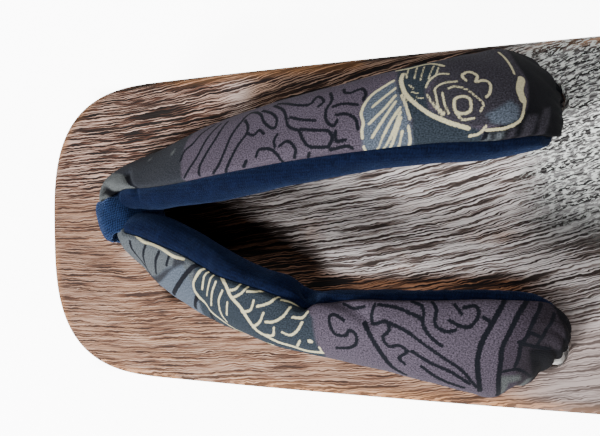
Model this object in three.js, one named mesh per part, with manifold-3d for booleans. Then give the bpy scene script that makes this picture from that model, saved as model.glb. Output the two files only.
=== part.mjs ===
// A geta sandal: a two-toothed sole carved from one block of wood, with a padded cloth thong.
// X runs from heel to toe, Y to the wearer's left and Z up. The origin is on the floor below the
// middle of the sole. All lengths are in millimetres and all angles in degrees.
import * as THREE from "three";
import { mergeVertices } from "three/addons/utils/BufferGeometryUtils.js";
import Module from "manifold-3d";

// Sole, seen from above
const soleLength = 260;
const soleWidth = 103;
const sideBow = 1.5; // each long side bulges by this between its ends and its middle
const cornerLength = 48; // the rounded stretch at the toe and at the heel
const cornerPower = 3; // 2 would be an ellipse, and more is squarer
const rimRadius = 2.2;

// Sole, seen from the side
const soleHeight = 50; // floor to footbed
const boardThickness = 20; // the board between the teeth
const tipThickness = 14; // the board at its toe and heel ends
const toothLength = 27; // each tooth, along the sole, where it meets the board
const toothLean = 1.5; // each face of a tooth comes in by this on its way down
const toothRoot = 7; // radius between tooth and board
const toothArris = 1.6; // chamfer along the foot of each tooth

// Holes for the thong
const toeHoleInset = 44; // toe tip to the centre of the toe hole
const holeSpan = 127; // toe hole to heel holes, along the sole
const heelHoleSpread = 68; // heel hole to heel hole
const toeHoleDiameter = 13;
const heelHoleDiameter = 11;
const holeLip = 1; // countersink at the footbed
const toeToothSetback = 14; // toe hole's centre to the front tooth
const heelToothSetback = 10; // heel holes' centres to the rear tooth
const knotPocketDiameter = 25;
const knotPocketDepth = 7;

// Thong
const padOverhang = 2.5; // the padding ends this far behind the heel holes' centres
const strapWidth = 28;
const strapThickness = 14.4;
const strapRise = 34; // the strap's middle at its highest, above the footbed
const strapPower = 2.25; // fullness of the padded section: 2 would be an ellipse
const coverArc = 190; // the share of the section's turn under the printed cloth
const loopWidth = 13;
const loopThickness = 4;
const loopYaw = 20; // the loop crosses the sole's line at this angle
const loopDepth = 10.5; // the loop's ends below the footbed, inside the toe hole
const cordDiameter = 3.4;
const knotWraps = 3;
const gap = 0.3; // left between pieces that meet

// Fineness of the facets
const cornerSteps = 18;
const stationsPerRow = 2;
const coverPoints = 14;
const liningPoints = 10;
const jointPoints = 3;
const cordSides = 4; // for each half turn

const wasm = await Module();
wasm.setup();

const degrees = Math.PI / 180;
const footbed = soleHeight;
const toeHoleX = soleLength / 2 - toeHoleInset;
const heelHoleX = toeHoleX - holeSpan;
const heelHoleY = heelHoleSpread / 2;
const strapReach = holeSpan + padOverhang;
const loopFoot = footbed - loopDepth;
const boardUnderside = soleHeight - boardThickness;
const frontToothFront = toeHoleX - toeToothSetback;
const frontToothBack = frontToothFront - toothLength;
const rearToothFront = heelHoleX - heelToothSetback;
const rearToothBack = rearToothFront - toothLength;

// The thong, row by row from the toe loop to a heel hole. back is a share of strapReach behind the
// toe hole, out a share of half the heel holes' spread, and rise a share of strapRise. wide and
// thick are shares of the strap's width and thickness. roll turns the printed face outwards, and
// seam is where the seam on the foot's side lies: 180 is the inner edge and 90 the top.
const turnRow = { back: 0.005, out: 0.145, rise: 0.395, wide: 0.58, thick: 0.74, roll: 77, seam: 184 };
const rightRows = [
  { back: -0.018, out: 0.32, rise: 0.405, wide: 0.62, thick: 0.97, roll: 76, seam: 180 },
  { back: 0.014, out: 0.42, rise: 0.43, wide: 0.69, thick: 0.93, roll: 69, seam: 172 },
  { back: 0.068, out: 0.478, rise: 0.49, wide: 0.77, thick: 0.91, roll: 60, seam: 163 },
  { back: 0.14, out: 0.511, rise: 0.58, wide: 0.86, thick: 0.94, roll: 50, seam: 155 },
  { back: 0.24, out: 0.557, rise: 0.72, wide: 0.93, thick: 0.97, roll: 40, seam: 146 },
  { back: 0.372, out: 0.628, rise: 0.853, wide: 0.95, thick: 1.0, roll: 32, seam: 140 },
  { back: 0.527, out: 0.711, rise: 0.955, wide: 0.91, thick: 1.0, roll: 27, seam: 142 },
  { back: 0.667, out: 0.783, rise: 1.0, wide: 0.91, thick: 1.0, roll: 24, seam: 147 },
  { back: 0.785, out: 0.834, rise: 0.97, wide: 0.95, thick: 1.0, roll: 22, seam: 149 },
  { back: 0.876, out: 0.887, rise: 0.84, wide: 1.03, thick: 1.0, roll: 20, seam: 150 },
  { back: 0.935, out: 0.955, rise: 0.605, wide: 1.04, thick: 0.97, roll: 15, seam: 152 },
  { back: 0.965, out: 0.99, rise: 0.33, wide: 0.86, thick: 0.86, roll: 8, seam: 152 },
  { back: 0.976, out: 1.0, rise: 0.12, wide: 0.45, thick: 0.62, roll: 2, seam: 152 },
  { back: 0.984, out: 1.006, rise: -0.03, wide: 0.26, thick: 0.46, roll: 0, seam: 152 },
];
const leftRows = [
  { back: 0.027, out: -0.02, rise: 0.405, wide: 0.64, thick: 0.9, roll: 72, seam: 174 },
  { back: 0.05, out: 0.09, rise: 0.43, wide: 0.79, thick: 0.95, roll: 62, seam: 160 },
  { back: 0.085, out: 0.15, rise: 0.48, wide: 0.88, thick: 0.95, roll: 50, seam: 147 },
  { back: 0.14, out: 0.228, rise: 0.56, wide: 0.9, thick: 0.94, roll: 36, seam: 137 },
  { back: 0.232, out: 0.34, rise: 0.69, wide: 0.83, thick: 0.92, roll: 22, seam: 127 },
  { back: 0.325, out: 0.478, rise: 0.81, wide: 0.77, thick: 0.92, roll: 20, seam: 127 },
  { back: 0.41, out: 0.588, rise: 0.882, wide: 0.71, thick: 0.97, roll: 22, seam: 143 },
  { back: 0.48, out: 0.664, rise: 0.92, wide: 0.65, thick: 1.03, roll: 24, seam: 153 },
  { back: 0.545, out: 0.706, rise: 0.947, wide: 0.59, thick: 1.06, roll: 24, seam: 166 },
  { back: 0.605, out: 0.715, rise: 0.976, wide: 0.65, thick: 1.06, roll: 22, seam: 169 },
  { back: 0.682, out: 0.732, rise: 1.0, wide: 0.73, thick: 1.03, roll: 20, seam: 169 },
  { back: 0.782, out: 0.771, rise: 0.97, wide: 0.84, thick: 1.0, roll: 18, seam: 167 },
  { back: 0.868, out: 0.812, rise: 0.84, wide: 0.97, thick: 1.0, roll: 16, seam: 164 },
  { back: 0.925, out: 0.875, rise: 0.62, wide: 1.07, thick: 1.0, roll: 12, seam: 159 },
  { back: 0.953, out: 0.945, rise: 0.37, wide: 0.87, thick: 0.88, roll: 8, seam: 156 },
  { back: 0.964, out: 0.985, rise: 0.185, wide: 0.5, thick: 0.6, roll: 4, seam: 155 },
];

// Half the sole's width at a distance along it from its middle.
function halfWidthAt(x) {
  const bow = sideBow * (x / (soleLength / 2)) ** 2;
  const intoCorner = Math.max(0, Math.abs(x) - (soleLength / 2 - cornerLength)) / cornerLength;
  const corner = Math.max(0, 1 - intoCorner ** cornerPower) ** (1 / cornerPower);
  return (soleWidth / 2 - bow) * corner;
}

// The sole's plan outline, with its points closer together round the corners.
function soleOutline() {
  const stations = [];
  for (let i = 0; i <= cornerSteps; i += 1) {
    const turn = (i / cornerSteps) * (Math.PI / 2);
    stations.push(soleLength / 2 - cornerLength * (1 - Math.cos(turn) ** (2 / cornerPower)));
  }
  const straightEnd = soleLength / 2 - cornerLength;
  const straightSteps = 6;
  for (let i = 1; i < straightSteps; i += 1) {
    stations.push(straightEnd * (1 - i / straightSteps));
  }
  const ahead = [...stations, 0];
  const right = [...ahead, ...stations.map((x) => -x).reverse()];
  const points = right.map((x) => new THREE.Vector2(x, -halfWidthAt(x)));
  const left = right.slice(1, -1).reverse();
  return new THREE.Shape([...points.reverse(), ...left.reverse().map((x) => new THREE.Vector2(x, halfWidthAt(x)))]);
}

// A closed three.js geometry as a solid that can be cut and joined.
function solidOf(geometry) {
  const bare = geometry.clone();
  bare.deleteAttribute("normal");
  bare.deleteAttribute("uv");
  const merged = mergeVertices(bare, 1e-4);
  return new wasm.Manifold(
    new wasm.Mesh({
      numProp: 3,
      vertProperties: new Float32Array(merged.attributes.position.array),
      triVerts: new Uint32Array(merged.index.array),
    }),
  );
}

// A solid back as a three.js geometry.
function geometryOf(solid) {
  const mesh = solid.getMesh();
  const geometry = new THREE.BufferGeometry();
  geometry.setAttribute("position", new THREE.BufferAttribute(new Float32Array(mesh.vertProperties), 3));
  geometry.setIndex(new THREE.BufferAttribute(new Uint32Array(mesh.triVerts), 1));
  geometry.computeVertexNormals();
  return geometry;
}

// A closed skin through rings of equal length, with a fan at each end. Each ring turns clockwise
// as seen from the ring before it.
function loft(rings) {
  const size = rings[0].length;
  const positions = rings.flat().flatMap((p) => [p.x, p.y, p.z]);
  const faces = [];
  for (let r = 0; r + 1 < rings.length; r += 1) {
    for (let i = 0; i < size; i += 1) {
      const a = r * size + i;
      const b = r * size + ((i + 1) % size);
      faces.push(a, b + size, b, a, a + size, b + size);
    }
  }
  [0, rings.length - 1].forEach((r) => {
    const centre = positions.length / 3;
    const middle = rings[r].reduce((sum, p) => sum.add(p), new THREE.Vector3()).divideScalar(size);
    positions.push(middle.x, middle.y, middle.z);
    for (let i = 0; i < size; i += 1) {
      const a = r * size + i;
      const b = r * size + ((i + 1) % size);
      faces.push(...(r === 0 ? [a, b, centre] : [b, a, centre]));
    }
  });
  const geometry = new THREE.BufferGeometry();
  geometry.setAttribute("position", new THREE.Float32BufferAttribute(positions, 3));
  geometry.setIndex(faces);
  return geometry;
}

// A side profile drawn in X and Z, carried right across the sole.
function acrossSole(profile) {
  const reach = soleWidth * 1.5;
  const geometry = new THREE.ExtrudeGeometry(profile, { depth: reach, bevelEnabled: false, curveSegments: 6 });
  geometry.rotateX(Math.PI / 2);
  geometry.translate(0, reach / 2, 0);
  return solidOf(geometry);
}

// The wood taken away between the teeth: an arch with a rounded root at both ends.
function archCut() {
  const below = -5;
  const rise = boardUnderside;
  const rear = rearToothFront;
  const front = frontToothBack;
  const shape = new THREE.Shape();
  shape.moveTo(rear - toothLean - toothArris, below);
  shape.lineTo(rear - toothLean - toothArris, 0);
  shape.lineTo(rear - toothLean, toothArris);
  shape.lineTo(rear, rise - toothRoot);
  shape.quadraticCurveTo(rear, rise, rear + toothRoot, rise);
  shape.lineTo(front - toothRoot, rise);
  shape.quadraticCurveTo(front, rise, front, rise - toothRoot);
  shape.lineTo(front + toothLean, toothArris);
  shape.lineTo(front + toothLean + toothArris, 0);
  shape.lineTo(front + toothLean + toothArris, below);
  return acrossSole(shape);
}

// The wood taken away past a tooth, towards the toe (way = 1) or the heel (way = -1).
function endCut(face, way) {
  const below = -5;
  const end = way * (soleLength / 2 + 5);
  const rise = boardUnderside;
  const tipRise = soleHeight - tipThickness;
  const shape = new THREE.Shape();
  shape.moveTo(face - way * (toothLean + toothArris), below);
  shape.lineTo(face - way * (toothLean + toothArris), 0);
  shape.lineTo(face - way * toothLean, toothArris);
  shape.lineTo(face, rise - toothRoot);
  shape.quadraticCurveTo(face, rise, face + way * toothRoot, rise);
  shape.lineTo(end, tipRise);
  shape.lineTo(end, below);
  return acrossSole(shape);
}

// An upright round cutter between two heights.
function drill(x, y, low, high, radius, topRadius = radius) {
  const geometry = new THREE.CylinderGeometry(topRadius, radius, high - low, 36);
  geometry.rotateX(Math.PI / 2);
  geometry.translate(x, y, (low + high) / 2);
  return solidOf(geometry);
}

// A hole from the footbed down through the board, with its countersunk lip.
function thongHole(x, y, diameter) {
  const past = 1;
  const shaft = drill(x, y, boardUnderside / 2, footbed + past, diameter / 2);
  const lip = drill(x, y, footbed - holeLip, footbed + past, diameter / 2, diameter / 2 + holeLip + past);
  return shaft.add(lip);
}

// Where the board's underside is at the toe hole.
function undersideAtToeHole() {
  const slopeStart = frontToothFront + toothRoot;
  const slopeEnd = soleLength / 2 + 5;
  const share = (toeHoleX - slopeStart) / (slopeEnd - slopeStart);
  return boardUnderside + share * (boardThickness - tipThickness);
}

function buildSole() {
  const block = new THREE.ExtrudeGeometry(soleOutline(), {
    depth: soleHeight - 2 * rimRadius,
    bevelEnabled: true,
    bevelThickness: rimRadius,
    bevelSize: rimRadius,
    bevelOffset: -rimRadius,
    bevelSegments: 3,
    curveSegments: 1,
  });
  block.translate(0, 0, rimRadius);
  const pocketTop = undersideAtToeHole() + knotPocketDepth;
  return solidOf(block)
    .subtract(archCut())
    .subtract(endCut(frontToothFront, 1))
    .subtract(endCut(rearToothBack, -1))
    .subtract(thongHole(toeHoleX, 0, toeHoleDiameter))
    .subtract(thongHole(heelHoleX, heelHoleY, heelHoleDiameter))
    .subtract(thongHole(heelHoleX, -heelHoleY, heelHoleDiameter))
    .subtract(drill(toeHoleX, 0, boardUnderside / 2, pocketTop, knotPocketDiameter / 2));
}

// The strap's rows in order, from the right heel hole round the toe loop to the left one.
// side is -1 on the wearer's right and 1 on the left.
function strapRows() {
  const placed = (row, side) => ({
    ...row,
    x: toeHoleX - row.back * strapReach,
    y: side * row.out * heelHoleY,
    z: footbed + row.rise * strapRise,
  });
  return [
    ...rightRows.map((row) => placed(row, -1)).reverse(),
    placed(turnRow, -1),
    ...leftRows.map((row) => placed(row, 1)),
  ];
}

// A smooth value through four neighbouring rows.
function smooth(before, from, to, after, t) {
  const a = 2 * from;
  const b = to - before;
  const c = 2 * before - 5 * from + 4 * to - after;
  const d = -before + 3 * from - 3 * to + after;
  return 0.5 * (a + b * t + c * t * t + d * t * t * t);
}

// The strap's stations: place, size, turn and local directions along its whole length.
function strapStations() {
  const rows = strapRows();
  const keys = ["x", "y", "z", "wide", "thick", "roll", "seam"];
  const at = (i) => rows[Math.min(Math.max(i, 0), rows.length - 1)];
  const stations = [];
  for (let i = 0; i + 1 < rows.length; i += 1) {
    for (let k = 0; k < stationsPerRow; k += 1) {
      const t = k / stationsPerRow;
      const values = keys.map((key) => [key, smooth(at(i - 1)[key], at(i)[key], at(i + 1)[key], at(i + 2)[key], t)]);
      stations.push(Object.fromEntries(values));
    }
  }
  stations.push({ ...rows[rows.length - 1] });
  return stations.map((station, i) => {
    const before = stations[Math.max(i - 1, 0)];
    const after = stations[Math.min(i + 1, stations.length - 1)];
    const along = new THREE.Vector3(after.x - before.x, after.y - before.y, after.z - before.z).normalize();
    const outward = new THREE.Vector3(along.y, -along.x, 0).normalize();
    const over = new THREE.Vector3().crossVectors(outward, along);
    const roll = station.roll * degrees;
    return {
      centre: new THREE.Vector3(station.x, station.y, station.z),
      edgeway: outward.clone().multiplyScalar(Math.cos(roll)).addScaledVector(over, -Math.sin(roll)),
      faceway: over.clone().multiplyScalar(Math.cos(roll)).addScaledVector(outward, Math.sin(roll)),
      halfWidth: (station.wide * strapWidth) / 2,
      halfThickness: (station.thick * strapThickness) / 2,
      seam: station.seam,
    };
  });
}

// A point of the padded section at an angle: 0 is the outer edge, 90 the face and 180 the inner edge.
function sectionPoint(station, angle, grow = 0) {
  const c = Math.cos(angle * degrees);
  const s = Math.sin(angle * degrees);
  const full = 2 / strapPower;
  const across = Math.sign(c) * Math.abs(c) ** full * (station.halfWidth + grow);
  const up = Math.sign(s) * Math.abs(s) ** full * (station.halfThickness + grow);
  return station.centre.clone().addScaledVector(station.edgeway, across).addScaledVector(station.faceway, up);
}

// The section's points between two angles, closed by a straight line where cover and lining meet.
// inset keeps both ends back from their angles, and grow pushes the skin out.
function sectionSector(station, from, to, steps, inset, grow = 0) {
  const back = (inset / station.halfWidth / degrees) * 1.4;
  const first = from + back;
  const turn = to - back - first;
  const arc = Array.from({ length: steps }, (_, i) => sectionPoint(station, first + (turn * i) / (steps - 1), grow));
  const start = arc[0];
  const end = arc[arc.length - 1];
  const joint = Array.from({ length: jointPoints - 1 }, (_, i) => end.clone().lerp(start, (i + 1) / jointPoints));
  return [...arc, ...joint];
}

function strapPiece(sector) {
  return solidOf(loft(strapStations().map(sector)));
}

// The largest body of a solid, without the crumbs that a cut can leave.
function largestBody(solid) {
  return solid.decompose().sort((a, b) => b.volume() - a.volume())[0];
}

function buildCover() {
  return strapPiece((s) => sectionSector(s, s.seam - coverArc, s.seam, coverPoints, gap / 2));
}

function buildLining() {
  const under = strapPiece((s) => sectionSector(s, s.seam, s.seam + 360 - coverArc, liningPoints, 0));
  const coverRoom = strapPiece((s) => sectionSector(s, s.seam - coverArc, s.seam, coverPoints, -gap / 2, gap));
  return largestBody(under.subtract(coverRoom));
}

// The whole strap, made larger all round by a clearance, to cut what wraps it.
function strapRoom(clearance) {
  const sides = 24;
  return strapPiece((s) => Array.from({ length: sides }, (_, i) => sectionPoint(s, (360 * i) / sides, clearance)));
}

// The toe loop: a padded band out of the toe hole, up behind the strap's turn, over it and down in
// front. It crosses the turn at loopYaw, square to the strap, and narrows behind.
function buildToeLoop() {
  const turn = strapRows()[rightRows.length];
  const deep = (turn.thick * strapThickness) / 2 + gap + loopThickness / 2;
  const tall = (turn.wide * strapWidth) / 2 + gap + loopThickness / 2;
  const stem = toeHoleDiameter / 2 - loopThickness / 2 - 4 * gap;
  const ahead = new THREE.Vector3(Math.cos(loopYaw * degrees), Math.sin(loopYaw * degrees), 0);
  const stemPoint = (way, z, wide) => ({ at: new THREE.Vector3(toeHoleX, 0, z).addScaledVector(ahead, way * stem), wide });
  const lipPoint = (way) => ({
    at: new THREE.Vector3(toeHoleX, turn.y * 0.35, footbed + loopThickness * 0.7).addScaledVector(ahead, way * stem * 1.15),
    wide: 0.6,
  });
  const path = [stemPoint(-1, loopFoot, 0.5), stemPoint(-1, footbed - loopDepth * 0.3, 0.5), lipPoint(-1)];
  const steps = 12;
  for (let i = 0; i <= steps; i += 1) {
    const angle = (205 - (230 * i) / steps) * degrees;
    const frontness = (1 + Math.cos(angle)) / 2;
    path.push({
      at: new THREE.Vector3(turn.x, turn.y, turn.z + Math.sin(angle) * tall).addScaledVector(ahead, Math.cos(angle) * deep),
      wide: 0.72 + 0.28 * frontness,
    });
  }
  path.push(lipPoint(1), stemPoint(1, footbed - loopDepth * 0.3, 0.5), stemPoint(1, loopFoot, 0.5));
  const curve = new THREE.CatmullRomCurve3(path.map((p) => p.at));
  const count = 36;
  const sides = 14;
  const across = new THREE.Vector3(-ahead.y, ahead.x, 0);
  const rings = [];
  for (let i = 0; i <= count; i += 1) {
    const t = i / count;
    const centre = curve.getPoint(t);
    const along = curve.getTangent(t);
    const sideways = across.clone().addScaledVector(along, -across.dot(along)).normalize();
    const outward = new THREE.Vector3().crossVectors(sideways, along);
    const place = t * (path.length - 1);
    const row = Math.min(Math.floor(place), path.length - 2);
    const wide = THREE.MathUtils.lerp(path[row].wide, path[row + 1].wide, place - row);
    rings.push(
      Array.from({ length: sides }, (_, k) => {
        const angle = (2 * Math.PI * k) / sides;
        const c = Math.cos(angle);
        const s = Math.sin(angle);
        return centre
          .clone()
          .addScaledVector(sideways, Math.sign(c) * Math.abs(c) ** 0.8 * (loopWidth / 2) * wide)
          .addScaledVector(outward, (Math.sign(s) * Math.abs(s) ** 0.9 * loopThickness) / 2);
      }),
    );
  }
  return largestBody(solidOf(loft(rings)).subtract(strapRoom(gap)));
}

// A round cord through a list of points.
function cordAlong(points, steps) {
  const section = new THREE.Shape();
  section.absarc(0, 0, cordDiameter / 2, 0, 2 * Math.PI, false);
  const extrudePath = new THREE.CatmullRomCurve3(points);
  return solidOf(new THREE.ExtrudeGeometry(section, { extrudePath, steps, curveSegments: cordSides }));
}

// The turns of a knot, wound round a cord that runs along Y through a centre.
function knotTurns(centre) {
  const perTurn = 8;
  const reach = cordDiameter * 0.94;
  const count = knotWraps * perTurn;
  const points = Array.from({ length: count + 1 }, (_, i) => {
    const angle = (2 * Math.PI * i) / perTurn;
    const drift = (i / perTurn - knotWraps / 2) * cordDiameter * 0.96;
    return new THREE.Vector3(reach * Math.cos(angle), drift, reach * Math.sin(angle)).add(centre);
  });
  return cordAlong(points, knotWraps * 14);
}

// How far a knot's turns reach from the cord inside them.
const knotReach = cordDiameter * 1.44;

// The loop's cord: two strands down from the loop, a knot in the pocket and two short ends.
function buildToeCord() {
  const knot = new THREE.Vector3(toeHoleX, 0, undersideAtToeHole() + knotPocketDepth - knotReach - gap);
  const strand = (way) =>
    cordAlong(
      [
        new THREE.Vector3(toeHoleX + way * cordDiameter * 0.55, 0, loopFoot - gap),
        new THREE.Vector3(toeHoleX + way * cordDiameter * 0.5, 0, knot.z + cordDiameter * 0.8),
        new THREE.Vector3(toeHoleX, way * cordDiameter * 0.6, knot.z),
        new THREE.Vector3(toeHoleX, way * cordDiameter * 2, knot.z),
        new THREE.Vector3(toeHoleX - way * cordDiameter * 0.44, way * cordDiameter * 2.7, knot.z - cordDiameter * 0.24),
      ],
      16,
    );
  return knotTurns(knot).add(strand(1)).add(strand(-1));
}

// The heel cord: out of the strap's left end, down its hole, across under the board to a knot,
// and up the right hole to the other end.
function buildHeelCord() {
  const rows = strapRows();
  const under = boardUnderside - knotReach - gap;
  const knot = new THREE.Vector3(heelHoleX, 0, under);
  const leg = (end, way) => {
    const low = way * (heelHoleY - heelHoleDiameter / 2);
    return [
      new THREE.Vector3(end.x - cordDiameter * 0.18, end.y + way * cordDiameter * 0.15, end.z - gap * 3),
      new THREE.Vector3(heelHoleX, way * (heelHoleY - cordDiameter * 0.18), footbed - boardThickness * 0.3),
      new THREE.Vector3(heelHoleX, way * (heelHoleY - cordDiameter * 0.3), boardUnderside + boardThickness * 0.15),
      new THREE.Vector3(heelHoleX, low + way * cordDiameter * 0.9, boardUnderside - cordDiameter * 0.6),
      new THREE.Vector3(heelHoleX, low - way * cordDiameter * 0.6, boardUnderside - cordDiameter * 1.24),
      new THREE.Vector3(heelHoleX, low - way * cordDiameter * 4, under + cordDiameter * 0.12),
    ];
  };
  const right = leg(rows[0], -1);
  const left = leg(rows[rows.length - 1], 1);
  return cordAlong([...right, knot, ...left.reverse()], 60).add(knotTurns(knot));
}

const slots = {
  wood: new THREE.MeshStandardMaterial({ color: 0x5d4336, roughness: 0.55, metalness: 0 }),
  print: new THREE.MeshStandardMaterial({ color: 0x4c4553, roughness: 0.9, metalness: 0 }),
  velvet: new THREE.MeshStandardMaterial({ color: 0x16244a, roughness: 0.95, metalness: 0 }),
  cord: new THREE.MeshStandardMaterial({ color: 0xe9e9e4, roughness: 0.85, metalness: 0 }),
};

const geta = new THREE.Group();

function add(name, solid, material) {
  const mesh = new THREE.Mesh(geometryOf(solid), material);
  mesh.name = name;
  geta.add(mesh);
}

add("sole", buildSole(), slots.wood);
add("strap_cover", buildCover(), slots.print);
add("strap_lining", buildLining(), slots.velvet);
add("toe_loop", buildToeLoop(), slots.velvet);
add("toe_cord", buildToeCord(), slots.cord);
add("heel_cord", buildHeelCord(), slots.cord);

export default geta;
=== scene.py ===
import logging
import math
from dataclasses import dataclass
from enum import Enum

import bmesh
import bpy
import numpy as np
from mathutils import Matrix, Vector


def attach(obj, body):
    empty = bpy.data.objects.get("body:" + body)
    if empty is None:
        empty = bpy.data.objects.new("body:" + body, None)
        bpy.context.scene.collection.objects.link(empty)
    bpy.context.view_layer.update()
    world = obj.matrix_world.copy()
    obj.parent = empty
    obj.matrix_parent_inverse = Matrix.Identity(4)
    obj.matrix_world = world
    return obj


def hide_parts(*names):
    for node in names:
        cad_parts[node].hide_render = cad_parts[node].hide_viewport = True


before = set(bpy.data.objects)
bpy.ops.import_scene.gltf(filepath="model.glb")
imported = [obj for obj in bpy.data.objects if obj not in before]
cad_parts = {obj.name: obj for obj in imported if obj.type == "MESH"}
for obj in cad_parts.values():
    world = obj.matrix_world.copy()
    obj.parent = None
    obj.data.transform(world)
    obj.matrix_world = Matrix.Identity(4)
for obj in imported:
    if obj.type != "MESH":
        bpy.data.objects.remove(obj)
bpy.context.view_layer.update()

MM = 0.001
LOG = logging.getLogger("geta")

# Sizes that more than one piece shares, in millimetres.
LENGTH = 260.0
WIDTH = 103.0
CORNER = 48.0
FOOTBED = 50.0
BOARD = 20.0
TOE_HOLE = 86.0
TOE_BORE = 13.0
HEEL_HOLE = -41.0
HEEL_SIDE = 34.0
HEEL_BORE = 11.0
POCKET_TOP = 38.2


class Slot(Enum):
    """The record's material slots."""

    WOOD = "wood"
    PRINT = "print"
    VELVET = "velvet"
    CORD = "cord"


class Ground(Enum):
    """The grounds of the printed cloth, each a linear colour; some are laid as painted shade."""

    PLUM = (0.070, 0.058, 0.080)
    # The two deeper plums are painted shade, darkening the plum towards the strap's left end.
    PLUM_SHADE = (0.046, 0.037, 0.052)
    PLUM_DEEP_SHADE = (0.026, 0.021, 0.029)
    CHARCOAL = (0.022, 0.025, 0.032)
    SLATE = (0.022, 0.031, 0.042)
    MAUVE = (0.034, 0.032, 0.042)
    BLUE_GREY = (0.078, 0.098, 0.128)
    LIGHT_SLATE = (0.074, 0.086, 0.096)
    # Black is laid at the right end, and as painted shade in the crease by the turn and in the gathers at the
    # left end.
    BLACK = (0.003, 0.0035, 0.006)
    FOLD = (0.084, 0.093, 0.095)


# Node helpers


class Nodes:
    """Writes nodes into one material or group."""

    def __init__(self, tree: bpy.types.NodeTree) -> None:
        """Keeps the tree.

        Args:
            tree: the node tree that is written into.
        """
        self.tree = tree

    def add(self, kind: str, inputs: dict | None = None, **settings: object) -> bpy.types.Node:
        """Adds a node.

        Args:
            kind: the node's type name.
            inputs: values or sockets by input name or number.
            settings: attributes set on the node.

        Returns:
            The new node.
        """
        node = self.tree.nodes.new(kind)
        for name, value in settings.items():
            setattr(node, name, value)
        for name, value in (inputs or {}).items():
            self.feed(node.inputs[name], value)
        return node

    def feed(self, socket: bpy.types.NodeSocket, value: object) -> None:
        """Links a socket to an input, or sets the input's own value.

        Args:
            socket: the input.
            value: an output socket, or a plain value.
        """
        if isinstance(value, bpy.types.NodeSocket):
            self.tree.links.new(value, socket)
        else:
            socket.default_value = value

    def math(self, operation: str, *values: object) -> bpy.types.NodeSocket:
        """Adds a Math node.

        Args:
            operation: the node's operation.
            values: up to three numbers or sockets.

        Returns:
            The result.
        """
        return self.add("ShaderNodeMath", dict(enumerate(values)), operation=operation).outputs[0]

    def product(self, first: object, *others: object) -> object:
        """Multiplies values.

        Args:
            first: the first of them.
            others: the rest.

        Returns:
            Their product.
        """
        for value in others:
            first = self.math("MULTIPLY", first, value)
        return first

    def total(self, start: object, *parts: tuple[object, float]) -> object:
        """Adds shares of values to a starting value.

        Args:
            start: what they are added to.
            parts: each value with the number that it is multiplied by.

        Returns:
            The total.
        """
        for value, share in parts:
            start = self.math("MULTIPLY_ADD", value, share, start)
        return start

    def fit(
        self, value: object, low: float, high: float, start: float = 0.0, end: float = 1.0
    ) -> bpy.types.NodeSocket:
        """Maps a value smoothly from one range to another, held at its ends.

        Args:
            value: what is mapped.
            low: the value that gives start.
            high: the value that gives end.
            start: the result at low.
            end: the result at high.

        Returns:
            The mapped value.
        """
        node = self.add("ShaderNodeMapRange", interpolation_type="SMOOTHSTEP")
        for index, number in enumerate((value, low, high, start, end)):
            self.feed(node.inputs[index], number)
        return node.outputs[0]

    def mix(self, share: object, first: object, second: object, blend: str = "MIX") -> bpy.types.NodeSocket:
        """Mixes two colours.

        Args:
            share: how much of the second shows, 0 to 1.
            first: the colour below.
            second: the colour above.
            blend: the blend type.

        Returns:
            The mixed colour.
        """
        node = self.add("ShaderNodeMix", data_type="RGBA", blend_type=blend)
        for index, value in ((0, share), (6, first), (7, second)):
            self.feed(node.inputs[index], (*value, 1.0) if isinstance(value, tuple) else value)
        return node.outputs[2]

    def noise(self, vector: object, scale: float, detail: float, rough: float = 0.5) -> bpy.types.NodeSocket:
        """Adds a noise texture.

        Args:
            vector: where it is read.
            scale: its scale.
            detail: its octaves.
            rough: how strong the finer octaves are.

        Returns:
            Its value, 0 to 1.
        """
        settings = {"Vector": vector, "Scale": scale, "Detail": detail, "Roughness": rough}
        return self.add("ShaderNodeTexNoise", settings).outputs[0]

    def vector(self, x: object, y: object, z: object = 0.0) -> bpy.types.NodeSocket:
        """Joins three numbers into a vector.

        Args:
            x: the first.
            y: the second.
            z: the third.

        Returns:
            The vector.
        """
        return self.add("ShaderNodeCombineXYZ", {0: x, 1: y, 2: z}).outputs[0]

    def attribute(self, name: str, output: str = "Fac") -> bpy.types.NodeSocket:
        """Reads an attribute of the piece.

        Args:
            name: the attribute.
            output: which of the node's outputs.

        Returns:
            The output.
        """
        return self.add("ShaderNodeAttribute", attribute_name=name).outputs[output]

    def bump(self, height: object, distance: float) -> bpy.types.NodeSocket:
        """Adds a bump.

        Args:
            height: the height, 0 to 1.
            distance: what a height of 1 is, in metres.

        Returns:
            The normal.
        """
        return self.add("ShaderNodeBump", {"Height": height, "Distance": distance}).outputs[0]


def new_group(name: str, inputs: dict[str, tuple[str, float]], outputs: dict[str, str]) -> bpy.types.NodeTree:
    """Makes an empty shader group with its sockets.

    Args:
        name: the group's name.
        inputs: each input's socket type and starting value.
        outputs: each output's socket type.

    Returns:
        The group.
    """
    group = bpy.data.node_groups.new(name, "ShaderNodeTree")
    for label, (kind, value) in inputs.items():
        socket = group.interface.new_socket(label, in_out="INPUT", socket_type=kind)
        if kind == "NodeSocketFloat":
            socket.default_value = value
    for label, kind in outputs.items():
        group.interface.new_socket(label, in_out="OUTPUT", socket_type=kind)
    return group


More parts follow.
